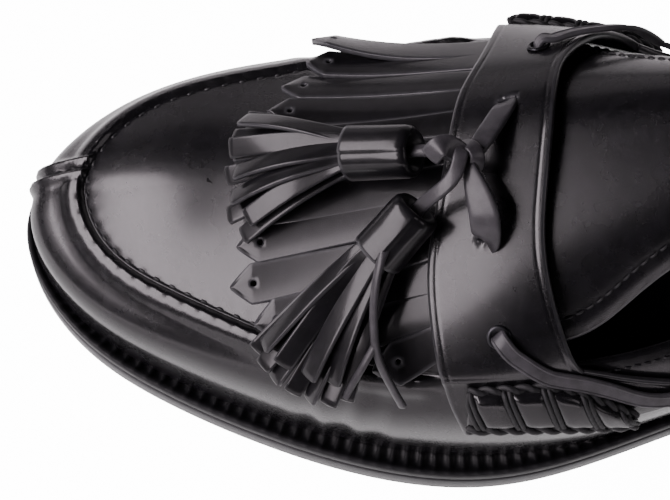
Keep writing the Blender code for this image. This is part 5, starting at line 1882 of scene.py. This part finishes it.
@dataclass
class Tassel:
    """A leather cap with a bunch of cut strips."""

    name: str
    start: tuple
    end: tuple
    tips: Sequence[Tip]
    seam: float = 1.1
    radius: float = 5.9
    spread: float = 3.4

    def build(self, bench: Bench) -> bpy.types.Object:
        """Make the cap and its strips.

        Args:
            bench: where pieces are placed.

        Returns:
            The cap.
        """
        start, end = np.array(self.start), np.array(self.end)
        run = unit(end - start)
        length = float(np.linalg.norm(end - start))
        side = unit(np.cross((0.0, 0.0, 1.0), run))
        up = np.cross(run, side)
        turn = np.linspace(0, 2 * math.pi, 72, endpoint=False)
        r = self.radius
        profile = [(2.6, 0.2), (2.4, r * 0.5), (0.5, r * 0.66), (0.0, r * 0.74), (0.1, r * 0.84),
                   (0.8, r * 0.94), (2.2, r * 0.98), (length * 0.5, r), (length - 1.0, r * 1.03),
                   (length - 0.15, r * 1.04), (length, r * 0.98), (length - 0.3, r * 0.88),
                   (length - 2.0, r * 0.8), (length - 3.4, r * 0.4), (length - 3.5, 0.1)]
        past_seam = ((turn - self.seam) / (2 * math.pi)) % 1.0
        lap = 0.97 + 0.08 * (1 - past_seam) + 0.03 * np.cos(4 * (turn - 0.7))
        rows = []
        for along, radius in profile:
            ring = (side * np.cos(turn)[:, None] + up * np.sin(turn)[:, None]) * (radius * lap)[:, None]
            rows.append(start + run * along + ring)
        points = np.array(rows)
        inner = start + run * length * 0.5
        edge = np.zeros(points.shape[:2])
        edge[9:11] = 0.9
        edge[2:4] = 0.7
        outside = np.zeros_like(points)
        outside[4:10] = points[4:10] - inner
        shape = grid_shape(points, outside, wrap_columns=True, edge=edge)
        cap = bench.place(self.name + "_cap", shape, STRAP_LEATHER, "tassel", self.name)
        strips = [self.strip(number, tip, end, run, side, up) for number, tip in enumerate(self.tips)]
        bench.place(self.name + "_strips", join(strips), STRAP_LEATHER, "tassel")
        return cap

    def strip(self, number: int, tip: Tip, end: Array, run: Array, side: Array, up: Array) -> Shape:
        """One strip from inside the cap to its cut end."""
        spot = np.array([tip.x, tip.y, tip.z])
        middle = np.array([[t.x, t.y, t.z] for t in self.tips]).mean(axis=0)
        reach = np.clip((spot - middle) @ side * 0.32, -self.spread, self.spread)
        root = end - run * 3.0 + side * reach * 0.8 + up * tip.layer
        leave = end + run * 3.0 + side * reach * 1.2 + up * tip.layer
        half = (leave + spot) / 2 + up * (1.3 + 0.3 * math.sin(number * 2.1))
        path = curve_through([root, leave, half, spot], 34)
        share = np.linspace(0, 1, 34)
        widths = 3.2 + (tip.width - 3.2) * ease(share * 1.8)
        roll = 0.6 * math.sin(2.4 * number + 0.8) * ease(share * 1.6)[:, None]
        return swept(path, unit(up + side * roll), widths, 1.25, 0.35)


TASSELS = (
    ("tassel_front", (57.5, 1.6, 75.0), (71.6, -1.8, 67.6),
     (Tip(95.0, -17.8, 54.0, 4.4, -1.2), Tip(98.4, -13.4, 53.6, 4.6, -1.8), Tip(97.4, -8.6, 53.8, 4.4, -2.2),
      Tip(99.6, -3.8, 53.0, 4.6, -2.4), Tip(98.2, 1.2, 53.4, 4.4, -2.3), Tip(99.0, 6.0, 52.4, 4.6, -2.0),
      Tip(95.6, 11.2, 52.6, 4.4, -1.4), Tip(96.0, -15.6, 58.2, 4.8, 1.4), Tip(98.8, -9.0, 56.8, 4.8, 1.8),
      Tip(97.4, -2.4, 57.6, 5.0, 2.1), Tip(98.2, 3.6, 56.4, 4.8, 1.9), Tip(94.6, 8.8, 57.0, 4.6, 1.5))),
    ("tassel_side", (56.8, 14.2, 72.7), (65.6, 21.4, 64.2),
     (Tip(92.4, 36.0, 45.6, 4.4, -1.4), Tip(91.0, 39.6, 44.8, 4.4, -1.8), Tip(88.4, 42.6, 44.0, 4.6, -2.1),
      Tip(84.4, 45.2, 43.2, 4.4, -2.3), Tip(80.6, 47.0, 43.0, 4.6, -2.2), Tip(76.4, 48.0, 43.2, 4.4, -1.9),
      Tip(72.6, 47.4, 44.6, 4.2, -1.4), Tip(90.6, 36.8, 49.4, 4.6, 1.5), Tip(86.6, 40.6, 48.2, 4.8, 1.9),
      Tip(80.8, 43.6, 48.4, 4.8, 2.0), Tip(75.6, 44.8, 48.2, 4.6, 1.6))),
)


def main() -> None:
    """Build the studio and every piece of the shoe."""
    logging.basicConfig(level=logging.INFO, format="%(name)s: %(message)s")
    Studio().build()
    last = Last()
    bench = Bench()
    tie = Tie(last)
    made = tie.build(bench)
    caps = [Tassel(*row).build(bench) for row in TASSELS]
    Bottom(last).build(bench)
    Upper(last).build(bench)
    Tongue(last).build(bench)
    Kiltie(last).build(bench)
    saddle = Saddle(last)
    saddle.build(bench)
    BeefRoll(last, Side.LATERAL, 45.0, 8.0).build(bench)
    BeefRoll(last, Side.MEDIAL, 32.6, -3.0).build(bench)
    CollarLace(last, saddle).build(bench)


if __name__ == "__main__":
    main()
